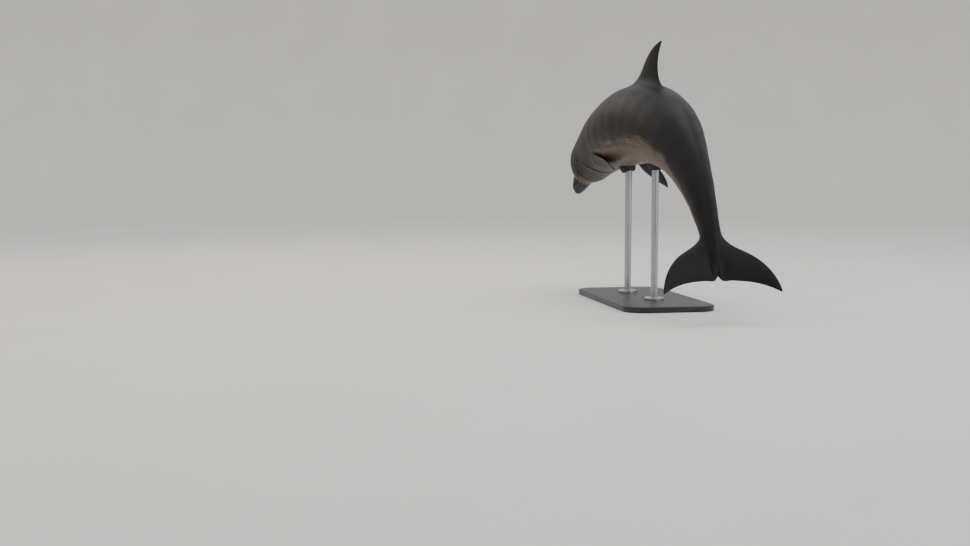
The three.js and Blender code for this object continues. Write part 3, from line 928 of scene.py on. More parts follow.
        eye = self.eye_reach(points, percent)
        side = smooth(np.abs(points[:, 1]), 60 * MM, 90 * MM)
        above = np.clip((points[:, 2] - self.eye_height * PERCENT) / self.eye_size[1], -1.0, 1.0)
        lid = bump_at(eye - 1.22, 0.26) * (2.6 + 1.1 * above) * MM
        lid -= bump_at(eye - 1.85, 0.2) * (0.5 + 0.7 * np.abs(above)) * MM
        lid += bump_at(eye - 2.3, 0.3) * (0.3 + 0.6 * np.clip(-above, 0.0, 1.0)) * MM
        socket = (1 - smooth(eye, 0.84, 1.04)) * 6.5 * MM
        brow = bump_at((percent - self.eye_at) * PERCENT, 45 * MM)
        brow *= bump_at(points[:, 2] - self.eye_height * PERCENT - 30 * MM, 20 * MM)
        total += side * (lid - socket + brow * 3.5 * MM)

        crescent, middle = self.blowhole_distance(points)
        top = smooth(height, 0.6, 0.9)
        total += top * (bump_at(middle, 34 * MM) * 2.4 * MM - bump_at(crescent, 3.4 * MM) * 6.5 * MM)

        ear = np.hypot((percent - self.ear_at) * PERCENT, points[:, 2] - self.ear_height * PERCENT)
        total -= side * bump_at(ear, 3.2 * MM) * 1.8 * MM

        for place, shift, depth, width in self.throat_folds:
            rise = np.clip(1 + height, 0.0, 1.0)
            line = (percent - place - shift * rise**1.5) * PERCENT
            low = smooth(-height, 0.18, 0.62)
            ridge = bump_at(line - 1.9 * width, 1.3 * width) + bump_at(line + 1.9 * width, 1.3 * width)
            total += body * low * (0.42 * depth * ridge - depth * bump_at(line, 0.55 * width))

        under = smooth(-height, 0.9, 0.98) * body
        navel = np.hypot((percent - self.navel_at) * PERCENT / 1.8, points[:, 1])
        total -= under * bump_at(navel, 7 * MM) * 2.2 * MM
        middle_line = bump_at(points[:, 1], 3.5 * MM)
        run = smooth(percent, self.slit_from, self.slit_from + 0.5)
        run *= 1 - smooth(percent, self.slit_to - 0.5, self.slit_to)
        slit_lips = bump_at(np.abs(points[:, 1]) - 9 * MM, 6 * MM) * 1.2 * MM
        total += under * run * (slit_lips - middle_line * 3.5 * MM)

        swell = np.sin(percent * 0.83 + height * 2.1) * np.sin(percent * 0.37 - height * 1.3 + 1.0)
        total += smooth(percent, 18, 26) * swell * 1.1 * MM
        return total * body


@dataclass(frozen=True)
class Markings:
    """Where the skin is dark or pale, as soft signed zones that the finish breaks up."""

    relief: Relief = field(default_factory=Relief)
    belly_edge: tuple[tuple[float, float], ...] = (
        # percent of the length, height of the pale belly's edge as a share of the belly
        # From 5 to 20 percent the edge runs low, which keeps the throat and lower jaw dark: partly the belly's own
        # edge, partly painted shade under the head.
        (0, -0.25), (5, -0.4), (12, -0.62), (20, -0.66), (28, -0.42), (37, -0.2), (49, -0.22),
        (59, -0.04), (65, 0.0), (70, 0.08), (74, 0.0), (80, -0.16), (87, -0.1), (93, -0.55), (98, -1.2),
    )
    cape_edge: tuple[tuple[float, float], ...] = (
        (0, 0.3), (6, 0.5), (13, 0.35), (22, 0.45), (32, 0.55),
        (45, 0.35), (56, 0.3), (70, 0.5), (85, 0.3), (100, 0.2),
    )

    def zones(self, points: np.ndarray, fin: np.ndarray) -> dict[str, np.ndarray]:
        """Work out the zones at points of the straight animal.

        Args:
            points: Rows of x, y, z in the straight model.
            fin: For each point, 0 on the body and 1 on a fin.

        Returns:
            For each named zone a value for each point: belly and cape are signed, 0 at the edge;
            fin, the painted crease shade and patch run from 0 to 1.
        """
        percent, height, _ = self.relief.coordinates(points)
        edge = np.interp(percent, *(np.array(c, float) for c in zip(*self.belly_edge)))
        cape = np.interp(percent, *(np.array(c, float) for c in zip(*self.cape_edge)))
        fin = smooth(fin, 0.1, 0.85)
        gap = points[:, 2] - self.relief.mouth_height(percent)
        eye = self.relief.eye_reach(points, percent)
        side = smooth(np.abs(points[:, 1]), 60 * MM, 90 * MM)
        crescent, _ = self.relief.blowhole_distance(points)
        # Painted shade: the mouth's groove, the rim of the lids, the blowhole's crescent and the throat's folds are
        # darkened as if shade lay in them.
        crease = self.relief.mouth_window(percent) * bump_at(gap, 3.2 * MM)
        crease = np.maximum(crease, side * bump_at(eye - 1.0, 0.32))
        crease = np.maximum(crease, smooth(height, 0.6, 0.9) * bump_at(crescent, 6 * MM))
        for place, shift, depth, width in self.relief.throat_folds:
            line = (percent - place - shift * np.clip(1 + height, 0.0, 1.0) ** 1.5) * PERCENT
            low = smooth(-height, 0.18, 0.62) * (1 - fin)
            crease = np.maximum(crease, 0.75 * low * bump_at(line, 0.5 * width) * depth / (4.5 * MM))
        bridle = side * bump_at(eye, 3.1) * 0.9
        to_flipper = bump_at(height + 0.16 + 0.06 * (percent - 14), 0.13)
        to_flipper *= smooth(percent, 12, 16) * (1 - smooth(percent, 19, 24))
        low_line = bump_at(height + 0.4, 0.035) * smooth(percent, 34, 39) * (1 - smooth(percent, 56, 61))
        return {
            "belly": edge - height,
            "cape": height - cape,
            "fin": fin,
            "crease": crease,
            "patch": np.clip(np.maximum(bridle, 0.6 * to_flipper), 0.0, 1.0),
            "low_line": low_line * (1 - fin),
        }


# ------------------------------------------------------------------------------- the skin


class Zone(Enum):
    """The skin's attributes, each one value for every vertex."""

    BELLY = "belly"
    CAPE = "cape"
    FIN = "fin"
    # Painted shade in the skin's grooves and folds.
    CREASE = "crease"
    PATCH = "patch"
    LOW_LINE = "low_line"


@dataclass
class Animal:
    """The whole dolphin's skin."""

    spine: Spine = field(default_factory=Spine)
    relief: Relief = field(default_factory=Relief)
    markings: Markings = field(default_factory=Markings)
    cage: SkinCage = field(default_factory=SkinCage)
    # How far back the flukes' edge reaches in percent, by millimetres beside the middle.
    notch: tuple[tuple[float, float], ...] = (
        (0.0, 99.95), (5.0, 100.2), (12.0, 100.62), (20.0, 100.85), (30.0, 100.95), (45.0, 100.95),
        (60.0, 100.9),
    )
    # Where the pull on the flukes' edge begins in percent, and how far beside the middle it reaches.
    notch_start: float = 97.0
    notch_width: float = 75 * MM
    notch_places: int = 16
    # The edge round a flipper's root that is smoothed is sharper than this, in degrees.
    seam_angle: float = 28.0
    seam_rings: int = 4
    seam_passes: int = 10
    # The head's faces, those by the mouth, blowhole and eyes, and those round the eyes, across.
    face_sizes: tuple[float, float, float] = (3.5 * MM, 2.2 * MM, 1.5 * MM)
    flesh_nodes: tuple[str, ...] = (
        "upper_beak", "lower_jaw", "head", "chest", "trunk", "tail_stock_front", "tail_stock_rear",
        "dorsal_fin", "fluke_left", "fluke_right", "flipper_left", "flipper_right",
    )

    def fins(self) -> list[Blade]:
        """List the fins that are drawn out of the tube, each on its own patch."""
        return [
            DorsalFin(),
            Fluke(left=True, column=16),
            Fluke(left=False, column=48),
        ]

    def united(self) -> bmesh.types.BMesh:
        """Round the cage, unite it with the flippers, and soften the line where they leave the chest.

        Returns:
            The fine mesh of the straight animal.
        """
        body = rounded_object(self.cage.build(self.fins()), "body")
        for flipper in self.flippers():
            blade = flipper.solid()
            join = body.modifiers.new("join", "BOOLEAN")
            join.operation, join.solver, join.object = "UNION", "EXACT", blade
            apply_modifiers(body)
            bpy.data.objects.remove(blade)
        fine = bmesh.new()
        fine.from_mesh(body.data)
        bpy.data.objects.remove(body)
        bmesh.ops.triangulate(fine, faces=[f for f in fine.faces if len(f.verts) > 4])
        bmesh.ops.dissolve_degenerate(fine, dist=0.05 * MM, edges=fine.edges[:])
        self.soften_roots(fine)
        self.draw_notch(fine)
        return fine

    def draw_notch(self, bm: bmesh.types.BMesh) -> None:
        """Pull the flukes' trailing edge back into two rounded lobes with a small notch between them.

        Args:
            bm: The smooth mesh of the straight animal.
        """
        start = self.notch_start
        near = [v for v in bm.verts if -v.co.x > start * PERCENT and abs(v.co.y) < self.notch_width]
        beside = np.array([abs(v.co.y) for v in near])
        back = np.array([-v.co.x for v in near]) / PERCENT
        places = np.linspace(0.0, self.notch_width, self.notch_places)
        reach = np.array([back[np.abs(beside - place) < 4 * MM].max(initial=start + 0.5) for place in places])
        wanted = np.maximum(reach, np.interp(places / MM, *(np.array(c) for c in zip(*self.notch))))
        wanted[0] = min(wanted[0], self.notch[0][1])
        scale = (np.interp(beside, places, wanted) - start) / (np.interp(beside, places, reach) - start)
        for vert, share, old in zip(near, scale, back):
            vert.co.x = -(start + (old - start) * float(share)) * PERCENT

    def soften_roots(self, bm: bmesh.types.BMesh) -> None:
        """Smooth the sharp line round each flipper's root, and the skin beside it.

        Args:
            bm: The smooth mesh of the straight animal.
        """
        bm.normal_update()
        seam = set()
        for edge in bm.edges:
            if len(edge.link_faces) == 2 and edge.calc_face_angle(0.0) > math.radians(self.seam_angle):
                middle = (edge.verts[0].co + edge.verts[1].co) / 2
                percent, height, out = (float(v[0]) for v in self.relief.coordinates(np.array([middle])))
                if 18 < percent < 34 and height < 0.1 and out < 1.12:
                    seam |= set(edge.verts)
        near = set(seam)
        for _ in range(self.seam_rings):
            near |= {e.other_vert(v) for v in near for e in v.link_edges}
        axes = {"use_axis_x": True, "use_axis_y": True, "use_axis_z": True}
        for _ in range(self.seam_passes):
            bmesh.ops.smooth_vert(bm, verts=list(near), factor=0.5, **axes)

    def flippers(self) -> list[Flipper]:
        """List the flippers: the left one swept back along the chest, the right one hanging out."""
        return [
            Flipper(left=True, droop=90.0, sweep=67.0, twist=40.0),
            Flipper(left=False, droop=82.0, sweep=38.0, twist=0.0),
        ]

    def refine(self, bm: bmesh.types.BMesh) -> None:
        """Cut the faces finer where the small forms are: mouth, eyes, blowhole, ears and folds.

        Args:
            bm: The smooth mesh of the straight animal.
        """
        coarse, medium, fine = self.face_sizes
        self.cut_where(bm, lambda p, h, o, x: (p < 20.5) & (o < 1.2), coarse)
        self.cut_where(bm, self.near_small_forms, medium)
        self.cut_where(bm, self.near_eyes, fine)

    def near_small_forms(self, percent: np.ndarray, height: np.ndarray, out: np.ndarray,
                         at: np.ndarray) -> np.ndarray:
        """Pick the places by the mouth line, the eyes and the blowhole.

        Args:
            percent: Percents of the length.
            height: Heights, from -1 at the belly to 1 at the back.
            out: Distances from the middle, 1 at the skin; not used.
            at: Rows of x, y, z in the straight model.

        Returns:
            True for the places to cut.
        """
        gap = np.abs(at[:, 2] - self.relief.mouth_height(percent))
        mouth = (gap < 13 * MM) & (percent < 13)
        crescent, _ = self.relief.blowhole_distance(at)
        blowhole = (crescent < 12 * MM) & (height > 0.7)
        return mouth | blowhole | self.near_eyes(percent, height, out, at)

    def near_eyes(self, percent: np.ndarray, height: np.ndarray, out: np.ndarray,
                  at: np.ndarray) -> np.ndarray:
        """Pick the places round the eyes."""
        return (self.relief.eye_reach(at, percent) < 2.4) & (np.abs(at[:, 1]) > 60 * MM)

    def cut_where(self, bm: bmesh.types.BMesh, pick: Callable[..., np.ndarray], size: float) -> None:
        """Halve every edge of the faces whose middles are picked, and keep quads inside.

        Args:
            bm: The smooth mesh of the straight animal.
            pick: A function of percent, height, out and place that picks points.
            size: Faces no larger than this across are left whole.
        """
        bm.faces.ensure_lookup_table()
        middles = np.array([f.calc_center_median() for f in bm.faces])
        large = np.array([f.calc_area() for f in bm.faces]) > size**2
        chosen = pick(*self.relief.coordinates(middles), middles) & large
        edges = {e for f, wanted in zip(bm.faces, chosen) if wanted for e in f.edges}
        bmesh.ops.subdivide_edges(bm, edges=list(edges), cuts=1, use_grid_fill=True, smooth=0.0)
        bm.normal_update()

    def skin(self) -> bpy.types.Object:
        """Build the skin: cage, smooth mesh, small forms, zones, and the bend of the spine.

        Returns:
            The linked object of the skin, in the pose.
        """
        fine = self.united()
        self.refine(fine)
        fine.normal_update()
        fine.verts.ensure_lookup_table()
        straight = np.array([v.co for v in fine.verts])
        normals = np.array([v.normal for v in fine.verts])
        layer = fine.verts.layers.float["fin"]
        _, _, out = self.relief.coordinates(straight)
        fin = np.array([v[layer] for v in fine.verts])
        for flipper in self.flippers():
            fin = np.maximum(fin, flipper.share_of(straight) * smooth(out, 1.0, 1.04))
        straight = straight + normals * self.relief.offsets(straight, fin)[:, None]
        for name in ("chordwise", "across", "fin"):
            fine.verts.layers.float.remove(fine.verts.layers.float[name])
        posed = self.spine.bend(straight)
        mesh = bpy.data.meshes.new("dolphin_skin")
        fine.to_mesh(mesh)
        fine.free()
        mesh.vertices.foreach_set("co", posed.astype(np.float32).ravel())
        for name, values in self.markings.zones(straight, fin).items():
            layer = mesh.attributes.new(Zone(name).value, "FLOAT", "POINT")
            layer.data.foreach_set("value", values.astype(np.float32))
        layer = mesh.attributes.new("straight", "FLOAT_VECTOR", "POINT")
        layer.data.foreach_set("vector", straight.astype(np.float32).ravel())
        mesh.polygons.foreach_set("use_smooth", np.ones(len(mesh.polygons), bool))
        mesh.update()
        mesh.validate()
        made = bpy.data.objects.new("dolphin_skin", mesh)
        bpy.context.scene.collection.objects.link(made)
        return made

    def build(self) -> None:
        """Build the skin, dress it, hide the frame's flesh parts, and tie the skin to the frame."""
        made = self.skin()
        made.data.materials.append(WetSkin().material())
        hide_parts(*self.flesh_nodes)
        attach(made, "root")
        triangles = sum(len(p.vertices) - 2 for p in made.data.polygons)
        LOG.info("skin: %d triangles", triangles)


@dataclass
class Eye:
    """One eyeball, a smooth glass ball in the place of the frame's faceted one."""

    left: bool = True
    spine: Spine = field(default_factory=Spine)
    relief: Relief = field(default_factory=Relief)
    radius: float = 15 * MM
    proud: float = 3 * MM
    outward: tuple[float, float, float] = (0.18, 1.0, -0.05)
    segments: int = 48
    rings: int = 32

    def build(self) -> None:
        """Build the eyeball, and keep how squarely each point looks outward for its finish."""
        side = 1.0 if self.left else -1.0
        name = "eye_left" if self.left else "eye_right"
        _, _, belly, half, _ = self.relief.form.at(self.relief.eye_at)
        height = self.relief.eye_height * PERCENT
        across = side * half * math.sqrt(1 - (height / belly) ** 2)
        seat = np.array([-self.relief.eye_at * PERCENT, across, height])
        out = np.array(self.outward) * np.array([1.0, side, 1.0])
        out /= np.linalg.norm(out)
        centre, ahead = self.spine.bend(np.stack([seat + out * (self.proud - self.radius), seat + out]))
        gaze = Vector(ahead - centre).normalized()
        bm = bmesh.new()
        bmesh.ops.create_uvsphere(bm, u_segments=self.segments, v_segments=self.rings, radius=self.radius)
        turned = gaze.to_track_quat("Z", "Y").to_matrix().to_4x4()
        bmesh.ops.transform(bm, matrix=Matrix.Translation(centre) @ turned, verts=bm.verts[:])
        mesh = bpy.data.meshes.new(f"{name}_ball")
        bm.to_mesh(mesh)
        bm.free()
        layer = mesh.attributes.new("gaze", "FLOAT", "POINT")
        looks = [(Vector(v.co) - Vector(centre)).normalized().dot(gaze) for v in mesh.vertices]
        layer.data.foreach_set("value", looks)
        mesh.polygons.foreach_set("use_smooth", np.ones(len(mesh.polygons), bool))
        mesh.materials.append(GlassEye().material())
        made = bpy.data.objects.new(f"{name}_ball", mesh)
        bpy.context.scene.collection.objects.link(made)
        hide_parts(name)
        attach(made, "root")
        LOG.info("%s: built", made.name)


def dress(node: str, finish: bpy.types.Material) -> None:
    """Give a CAD node's object a finish, in every one of its slots.

    Args:
        node: The node's name.
        finish: The material that it gets.
    """
    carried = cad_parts[node]
    for place in carried.material_slots:
        place.material = finish
    if not carried.material_slots:
        carried.data.materials.append(finish)


# ------------------------------------------------------------------------------- the finishes


def new_material(name: str) -> tuple[bpy.types.Material, bpy.types.NodeTree, bpy.types.Node]:
    """Make an empty node material with a Principled shader.

    Args:
        name: The material's name.

    Returns:
        The material, its tree and its shader.
    """
    made = bpy.data.materials.new(name)
    made.use_nodes = True
    tree = made.node_tree
    tree.nodes.clear()
    shader = add_node(tree, "ShaderNodeBsdfPrincipled")
    add_node(tree, "ShaderNodeOutputMaterial", {"Surface": shader.outputs["BSDF"]})
    return made, tree, shader


@dataclass(frozen=True)
class WetSkin:
    """Bottlenose skin, smooth as wet rubber and just out of the water.

    A near-black cape over charcoal flanks, a warm pale belly whose edge is brushed back in streaks,
    old tooth rakes as thin pale lines, and a film of water that gives it a broad gloss.
    """

    cape: str = "100e0e"
    flank: str = "1b1716"
    belly: str = "51443b"
    belly_warm: str = "5a4638"
    crease: str = "0c0b0b"
    # Painted shade: the near-black laid into the mouth's groove, round the lids, in the blowhole and along the
    # throat's folds.
    scratch: str = "4a4543"
    roughness: float = 0.5
    ior: float = 1.36
    film: float = 0.06
    gloss: float = 0.3
    film_roughness: float = 0.24
    # Streaks along the belly's edge are 12 mm apart and ten times as long.
    streak_spacing: float = 12 * MM
    # Mottling of real skin is a few centimetres across.
    mottle_size: float = 45 * MM
    # Real pores and fine cutaneous ridges are under 1 mm; they are drawn at 3 mm so that they show.
    ridge_spacing: float = 3 * MM

    # Cells for each metre along the body, across it and up it: drifts of colour as broad as a hand,
    # rakes left by other animals' teeth as long thin lines, and the few places that carry them.
    drift_cells: Triple = (2.2, 5.0, 5.0)
    rake_cells: Triple = (9.0, 160.0, 230.0)
    raked_place_cells: Triple = (3.0, 6.0, 6.0)

    def noises(self, tree: bpy.types.NodeTree, place: bpy.types.NodeSocket) -> dict[str, bpy.types.NodeSocket]:
        """Add the noises that the skin's patterns come from, each stretched along the straight body.

        Args:
            tree: The tree to add to.
            place: The straight place of each point.

        Returns:
            Each noise's value by its name, about 0.5 on average.
        """
        along, across = 1 / (10 * self.streak_spacing), 1 / self.streak_spacing
        cells = {
            "streaks": ((along, across, across), 4.0),
            "blotches": ((1 / self.mottle_size,) * 3, 3.0),
            "drifts": (self.drift_cells, 2.0),
            "ridges": ((1 / self.ridge_spacing,) * 3, 2.0),
            "rakes": (self.rake_cells, 1.0),
            "raked_places": (self.raked_place_cells, 1.0),
        }
        found = {}
        for name, (stretch, detail) in cells.items():
            scaled = add_node(tree, "ShaderNodeVectorMath", {0: place, 1: stretch}, operation="MULTIPLY")
            settings = {"Vector": scaled.outputs[0], "Scale": 1.0, "Detail": detail}
            found[name] = add_node(tree, "ShaderNodeTexNoise", settings).outputs["Fac"]
        return found

    def scratches(self, tree: bpy.types.NodeTree, noises: dict[str, bpy.types.NodeSocket]) -> bpy.types.NodeSocket:
        """Draw old tooth rakes: thin lines along one level of a stretched noise, in a few places only.

        Args:
            tree: The tree to add to.
            noises: The skin's noises.

        Returns:
            How strongly each point is scratched, 0 to 0.3.
        """
        level = add_node(tree, "ShaderNodeMath", {0: noises["rakes"], 1: 0.5}, operation="SUBTRACT")
        off_line = add_node(tree, "ShaderNodeMath", {0: level.outputs[0]}, operation="ABSOLUTE")
        line = {"Value": off_line.outputs[0], "From Min": 0.0, "From Max": 0.008, "To Min": 1.0, "To Max": 0.0}
        thin = add_node(tree, "ShaderNodeMapRange", line, interpolation_type="SMOOTHSTEP")
        raked = {"Value": noises["raked_places"], "From Min": 0.6, "From Max": 0.72}
        where = add_node(tree, "ShaderNodeMapRange", raked, interpolation_type="SMOOTHSTEP")
        both = {0: thin.outputs["Result"], 1: where.outputs["Result"]}
        lines = add_node(tree, "ShaderNodeMath", both, operation="MULTIPLY")
        return add_node(tree, "ShaderNodeMath", {0: lines.outputs[0], 1: 0.3}, operation="MULTIPLY").outputs[0]

    def belly_share(self, tree: bpy.types.NodeTree, zones: dict[Zone, bpy.types.NodeSocket],
                    noises: dict[str, bpy.types.NodeSocket], drift: bpy.types.NodeSocket) -> bpy.types.NodeSocket:
        """Work out where the pale belly shows, with its edge brushed back in streaks.

        Args:
            tree: The tree to add to.
            zones: The skin's zones.
            noises: The skin's noises.
            drift: A slow shift of every edge.

        Returns:
            The belly's share, 0 to 1.
        """
        centred = add_node(tree, "ShaderNodeMath", {0: noises["streaks"], 1: 0.5}, operation="SUBTRACT")
        wander = add_node(tree, "ShaderNodeMath", {0: centred.outputs[0], 1: 0.62}, operation="MULTIPLY")
        streaked = add_node(tree, "ShaderNodeMath", {0: zones[Zone.BELLY], 1: wander.outputs[0]}, operation="ADD")
        edge = add_node(tree, "ShaderNodeMath", {0: streaked.outputs[0], 1: drift}, operation="ADD")
        soft = {"Value": edge.outputs[0], "From Min": -0.07, "From Max": 0.2}
        share = add_node(tree, "ShaderNodeMapRange", soft, interpolation_type="SMOOTHSTEP")
        off_fins = add_node(tree, "ShaderNodeMath", {0: 1.0, 1: zones[Zone.FIN]}, operation="SUBTRACT")
        shown = {0: share.outputs["Result"], 1: off_fins.outputs[0]}
        return add_node(tree, "ShaderNodeMath", shown, operation="MULTIPLY").outputs[0]

    def cape_share(self, tree: bpy.types.NodeTree, zones: dict[Zone, bpy.types.NodeSocket],
                   drift: bpy.types.NodeSocket) -> bpy.types.NodeSocket:
        """Work out where the darkest tone shows: over the back, on the fins and round the eyes.

        Args:
            tree: The tree to add to.
            zones: The skin's zones.
            drift: A slow shift of every edge.

        Returns:
            The cape's share, 0 to 1.
        """
        edge = add_node(tree, "ShaderNodeMath", {0: zones[Zone.CAPE], 1: drift}, operation="ADD")
        soft = {"Value": edge.outputs[0], "From Min": -0.2, "From Max": 0.3}
        back = add_node(tree, "ShaderNodeMapRange", soft, interpolation_type="SMOOTHSTEP")
        with_fins = {0: back.outputs["Result"], 1: zones[Zone.FIN]}
        finned = add_node(tree, "ShaderNodeMath", with_fins, operation="MAXIMUM")
        patch = add_node(tree, "ShaderNodeMath", {0: zones[Zone.PATCH], 1: 0.8}, operation="MULTIPLY")
        dark = {0: finned.outputs[0], 1: patch.outputs[0]}
        return add_node(tree, "ShaderNodeMath", dark, operation="MAXIMUM").outputs[0]

    def belly_colour(self, tree: bpy.types.NodeTree, place: bpy.types.NodeSocket,
                     blotches: bpy.types.NodeSocket) -> bpy.types.NodeSocket:
        """Mottle the belly, and paint shade over it towards the throat.

        Args:
            tree: The tree to add to.
            place: The straight place of each point.
            blotches: The mottling's noise.

        Returns:
            The belly's colour.
        """
        tones = {"Factor": blotches, MIX_UNDER: colour(self.belly), MIX_OVER: colour(self.belly_warm)}
        mottled = add_node(tree, "ShaderNodeMix", tones, data_type="RGBA").outputs[MIX_COLOUR]
        # Painted shade: ahead of 0.66 m behind the snout the belly is blended towards the flank's tone, up to 60
        # percent from 0.4 m forward, as if the throat lay in shadow.
        ahead = add_node(tree, "ShaderNodeSeparateXYZ", {"Vector": place}).outputs["X"]
        throat = {"Value": ahead, "From Min": -0.66, "From Max": -0.4}
        share = add_node(tree, "ShaderNodeMapRange", throat, interpolation_type="SMOOTHSTEP")
        painted_throat_shade = add_node(tree, "ShaderNodeMath", {0: share.outputs["Result"], 1: 0.6}, operation="MULTIPLY")
        shaded = {"Factor": painted_throat_shade.outputs[0], MIX_UNDER: mottled, MIX_OVER: colour(self.flank)}
        return add_node(tree, "ShaderNodeMix", shaded, data_type="RGBA").outputs[MIX_COLOUR]

    def material(self) -> bpy.types.Material:
        """Build the skin's material.

        Returns:
            The material.
        """
        made, tree, shader = new_material("wet_skin")
        place = add_node(tree, "ShaderNodeAttribute", attribute_name="straight").outputs["Vector"]
        zones = {
            zone: add_node(tree, "ShaderNodeAttribute", attribute_name=zone.value).outputs["Fac"] for zone in Zone
        }
        noises = self.noises(tree, place)
        scratched = self.scratches(tree, noises)
        shift = add_node(tree, "ShaderNodeMath", {0: noises["drifts"], 1: 0.5}, operation="SUBTRACT")
        drift = add_node(tree, "ShaderNodeMath", {0: shift.outputs[0], 1: 0.34}, operation="MULTIPLY").outputs[0]
        low_line = add_node(tree, "ShaderNodeMath", {0: zones[Zone.LOW_LINE], 1: 0.75}, operation="MULTIPLY")
        # Painted shade in the grooves and folds, mixed in at 0.8 of its share.
        creased = add_node(tree, "ShaderNodeMath", {0: zones[Zone.CREASE], 1: 0.8}, operation="MULTIPLY")
        mottle = {"Value": noises["blotches"], "From Min": 0.3, "From Max": 0.75, "To Min": 0.86, "To Max": 1.1}
        shade = add_node(tree, "ShaderNodeMapRange", mottle, interpolation_type="SMOOTHSTEP").outputs["Result"]

        base = colour(self.flank)
        layers = (
            (self.cape_share(tree, zones, drift), colour(self.cape)),
            (self.belly_share(tree, zones, noises, drift), self.belly_colour(tree, place, noises["blotches"])),
            (low_line.outputs[0], colour(self.flank)),
            (None, shade),
            (scratched, colour(self.scratch)),
            (creased.outputs[0], colour(self.crease)),
        )
        for share, tone in layers:
            if share is None:
                base = add_node(tree, "ShaderNodeVectorMath", {0: base, 1: tone}, operation="MULTIPLY").outputs[0]
                continue
            over = {"Factor": share, MIX_UNDER: base, MIX_OVER: tone}
            base = add_node(tree, "ShaderNodeMix", over, data_type="RGBA").outputs[MIX_COLOUR]
        tree.links.new(base, shader.inputs["Base Color"])

        smoother, rougher = self.roughness - 0.03, self.roughness + 0.04
        wet = {"Value": noises["blotches"], "From Min": 0.25, "From Max": 0.8, "To Min": smoother, "To Max": rougher}
        gloss = add_node(tree, "ShaderNodeMapRange", wet, interpolation_type="SMOOTHSTEP")
        tree.links.new(gloss.outputs["Result"], shader.inputs["Roughness"])
        shader.inputs["IOR"].default_value = self.ior
        shader.inputs["Specular IOR Level"].default_value = self.gloss
        shader.inputs["Coat Weight"].default_value = self.film
        shader.inputs["Coat Roughness"].default_value = self.film_roughness
        shader.inputs["Coat IOR"].default_value = 1.33

        grain = {"Height": noises["ridges"], "Strength": 0.12, "Distance": 0.4 * MM}
        swell = {"Height": noises["blotches"], "Strength": 0.1, "Distance": 2 * MM}
        scars = {"Height": scratched, "Strength": 0.5, "Distance": 0.6 * MM}
        normal = {}
        for relief in (grain, swell, scars):
            normal = {"Normal": add_node(tree, "ShaderNodeBump", {**relief, **normal}).outputs["Normal"]}
        tree.links.new(normal["Normal"], shader.inputs["Normal"])
        return made


@dataclass(frozen=True)
class GlassEye:
    """A museum glass eye: a dark pupil in a brown iris, under a clear polished cornea."""

    pupil: str = "050405"
    iris: str = "3a2415"
    rim: str = "120c0a"
    # The iris shows fine rays about 1 mm apart.
    ray_spacing: float = 1 * MM

    def material(self) -> bpy.types.Material:
        """Build the eye's material.

        Returns:
            The material.
        """
        made, tree, shader = new_material("glass_eye")
        place = add_node(tree, "ShaderNodeTexCoord").outputs["Object"]
        gaze = add_node(tree, "ShaderNodeAttribute", attribute_name="gaze").outputs["Fac"]
        rays = add_node(tree, "ShaderNodeTexNoise", {"Vector": place, "Scale": 1 / self.ray_spacing, "Detail": 2.0})
        uneven = add_node(tree, "ShaderNodeMath", {0: rays.outputs["Fac"], 1: 0.05, 2: gaze}, operation="MULTIPLY_ADD")
        bands = add_node(tree, "ShaderNodeValToRGB", {"Fac": uneven.outputs[0]})
        stops = bands.color_ramp.elements
        stops[0].position, stops[0].color = 0.8, colour(self.rim)
        stops[1].position, stops[1].color = 0.985, colour(self.pupil)
        for position, tone in ((0.86, self.iris), (0.955, self.iris), (0.97, self.pupil)):
            stops.new(position).color = colour(tone)
        tree.links.new(bands.outputs["Color"], shader.inputs["Base Color"])
        shader.inputs["Roughness"].default_value = 0.06
        shader.inputs["IOR"].default_value = 1.5
        shader.inputs["Coat Weight"].default_value = 1.0
        shader.inputs["Coat Roughness"].default_value = 0.02
        return made


@dataclass(frozen=True)
class SatinLacquer:
    """Black lacquer sprayed on a board and rubbed to a satin: a fine orange peel and faint dust."""

    tone: str = "1d1d1f"
    dust: str = "2c2b2a"
    # Orange peel of sprayed lacquer waves every 4 mm or so.
    peel_size: float = 4 * MM
    dust_size: float = 60 * MM

    def material(self) -> bpy.types.Material:
        """Build the lacquer's material.

        Returns:
            The material.
        """
        made, tree, shader = new_material("satin_lacquer")
        place = add_node(tree, "ShaderNodeTexCoord").outputs["Object"]
        peel = add_node(tree, "ShaderNodeTexNoise", {"Vector": place, "Scale": 1 / self.peel_size, "Detail": 1.0})
        dust = add_node(tree, "ShaderNodeTexNoise", {"Vector": place, "Scale": 1 / self.dust_size, "Detail": 6.0})
        tone = {"Value": dust.outputs["Fac"], "From Min": 0.4, "From Max": 0.75}
        share = add_node(tree, "ShaderNodeMapRange", tone)
        blend = add_node(tree, "ShaderNodeMix", {"Factor": share.outputs["Result"]}, data_type="RGBA")
        blend.inputs[6].default_value = colour(self.tone)
        blend.inputs[7].default_value = colour(self.dust)
        tree.links.new(blend.outputs[2], shader.inputs["Base Color"])
        gloss = {"Value": dust.outputs["Fac"], "To Min": 0.3, "To Max": 0.46}
        rubbed = add_node(tree, "ShaderNodeMapRange", gloss)
        tree.links.new(rubbed.outputs["Result"], shader.inputs["Roughness"])
        bump = {"Height": peel.outputs["Fac"], "Strength": 0.15, "Distance": 0.3 * MM}
        uneven = add_node(tree, "ShaderNodeBump", bump)
        tree.links.new(uneven.outputs["Normal"], shader.inputs["Normal"])
        return made


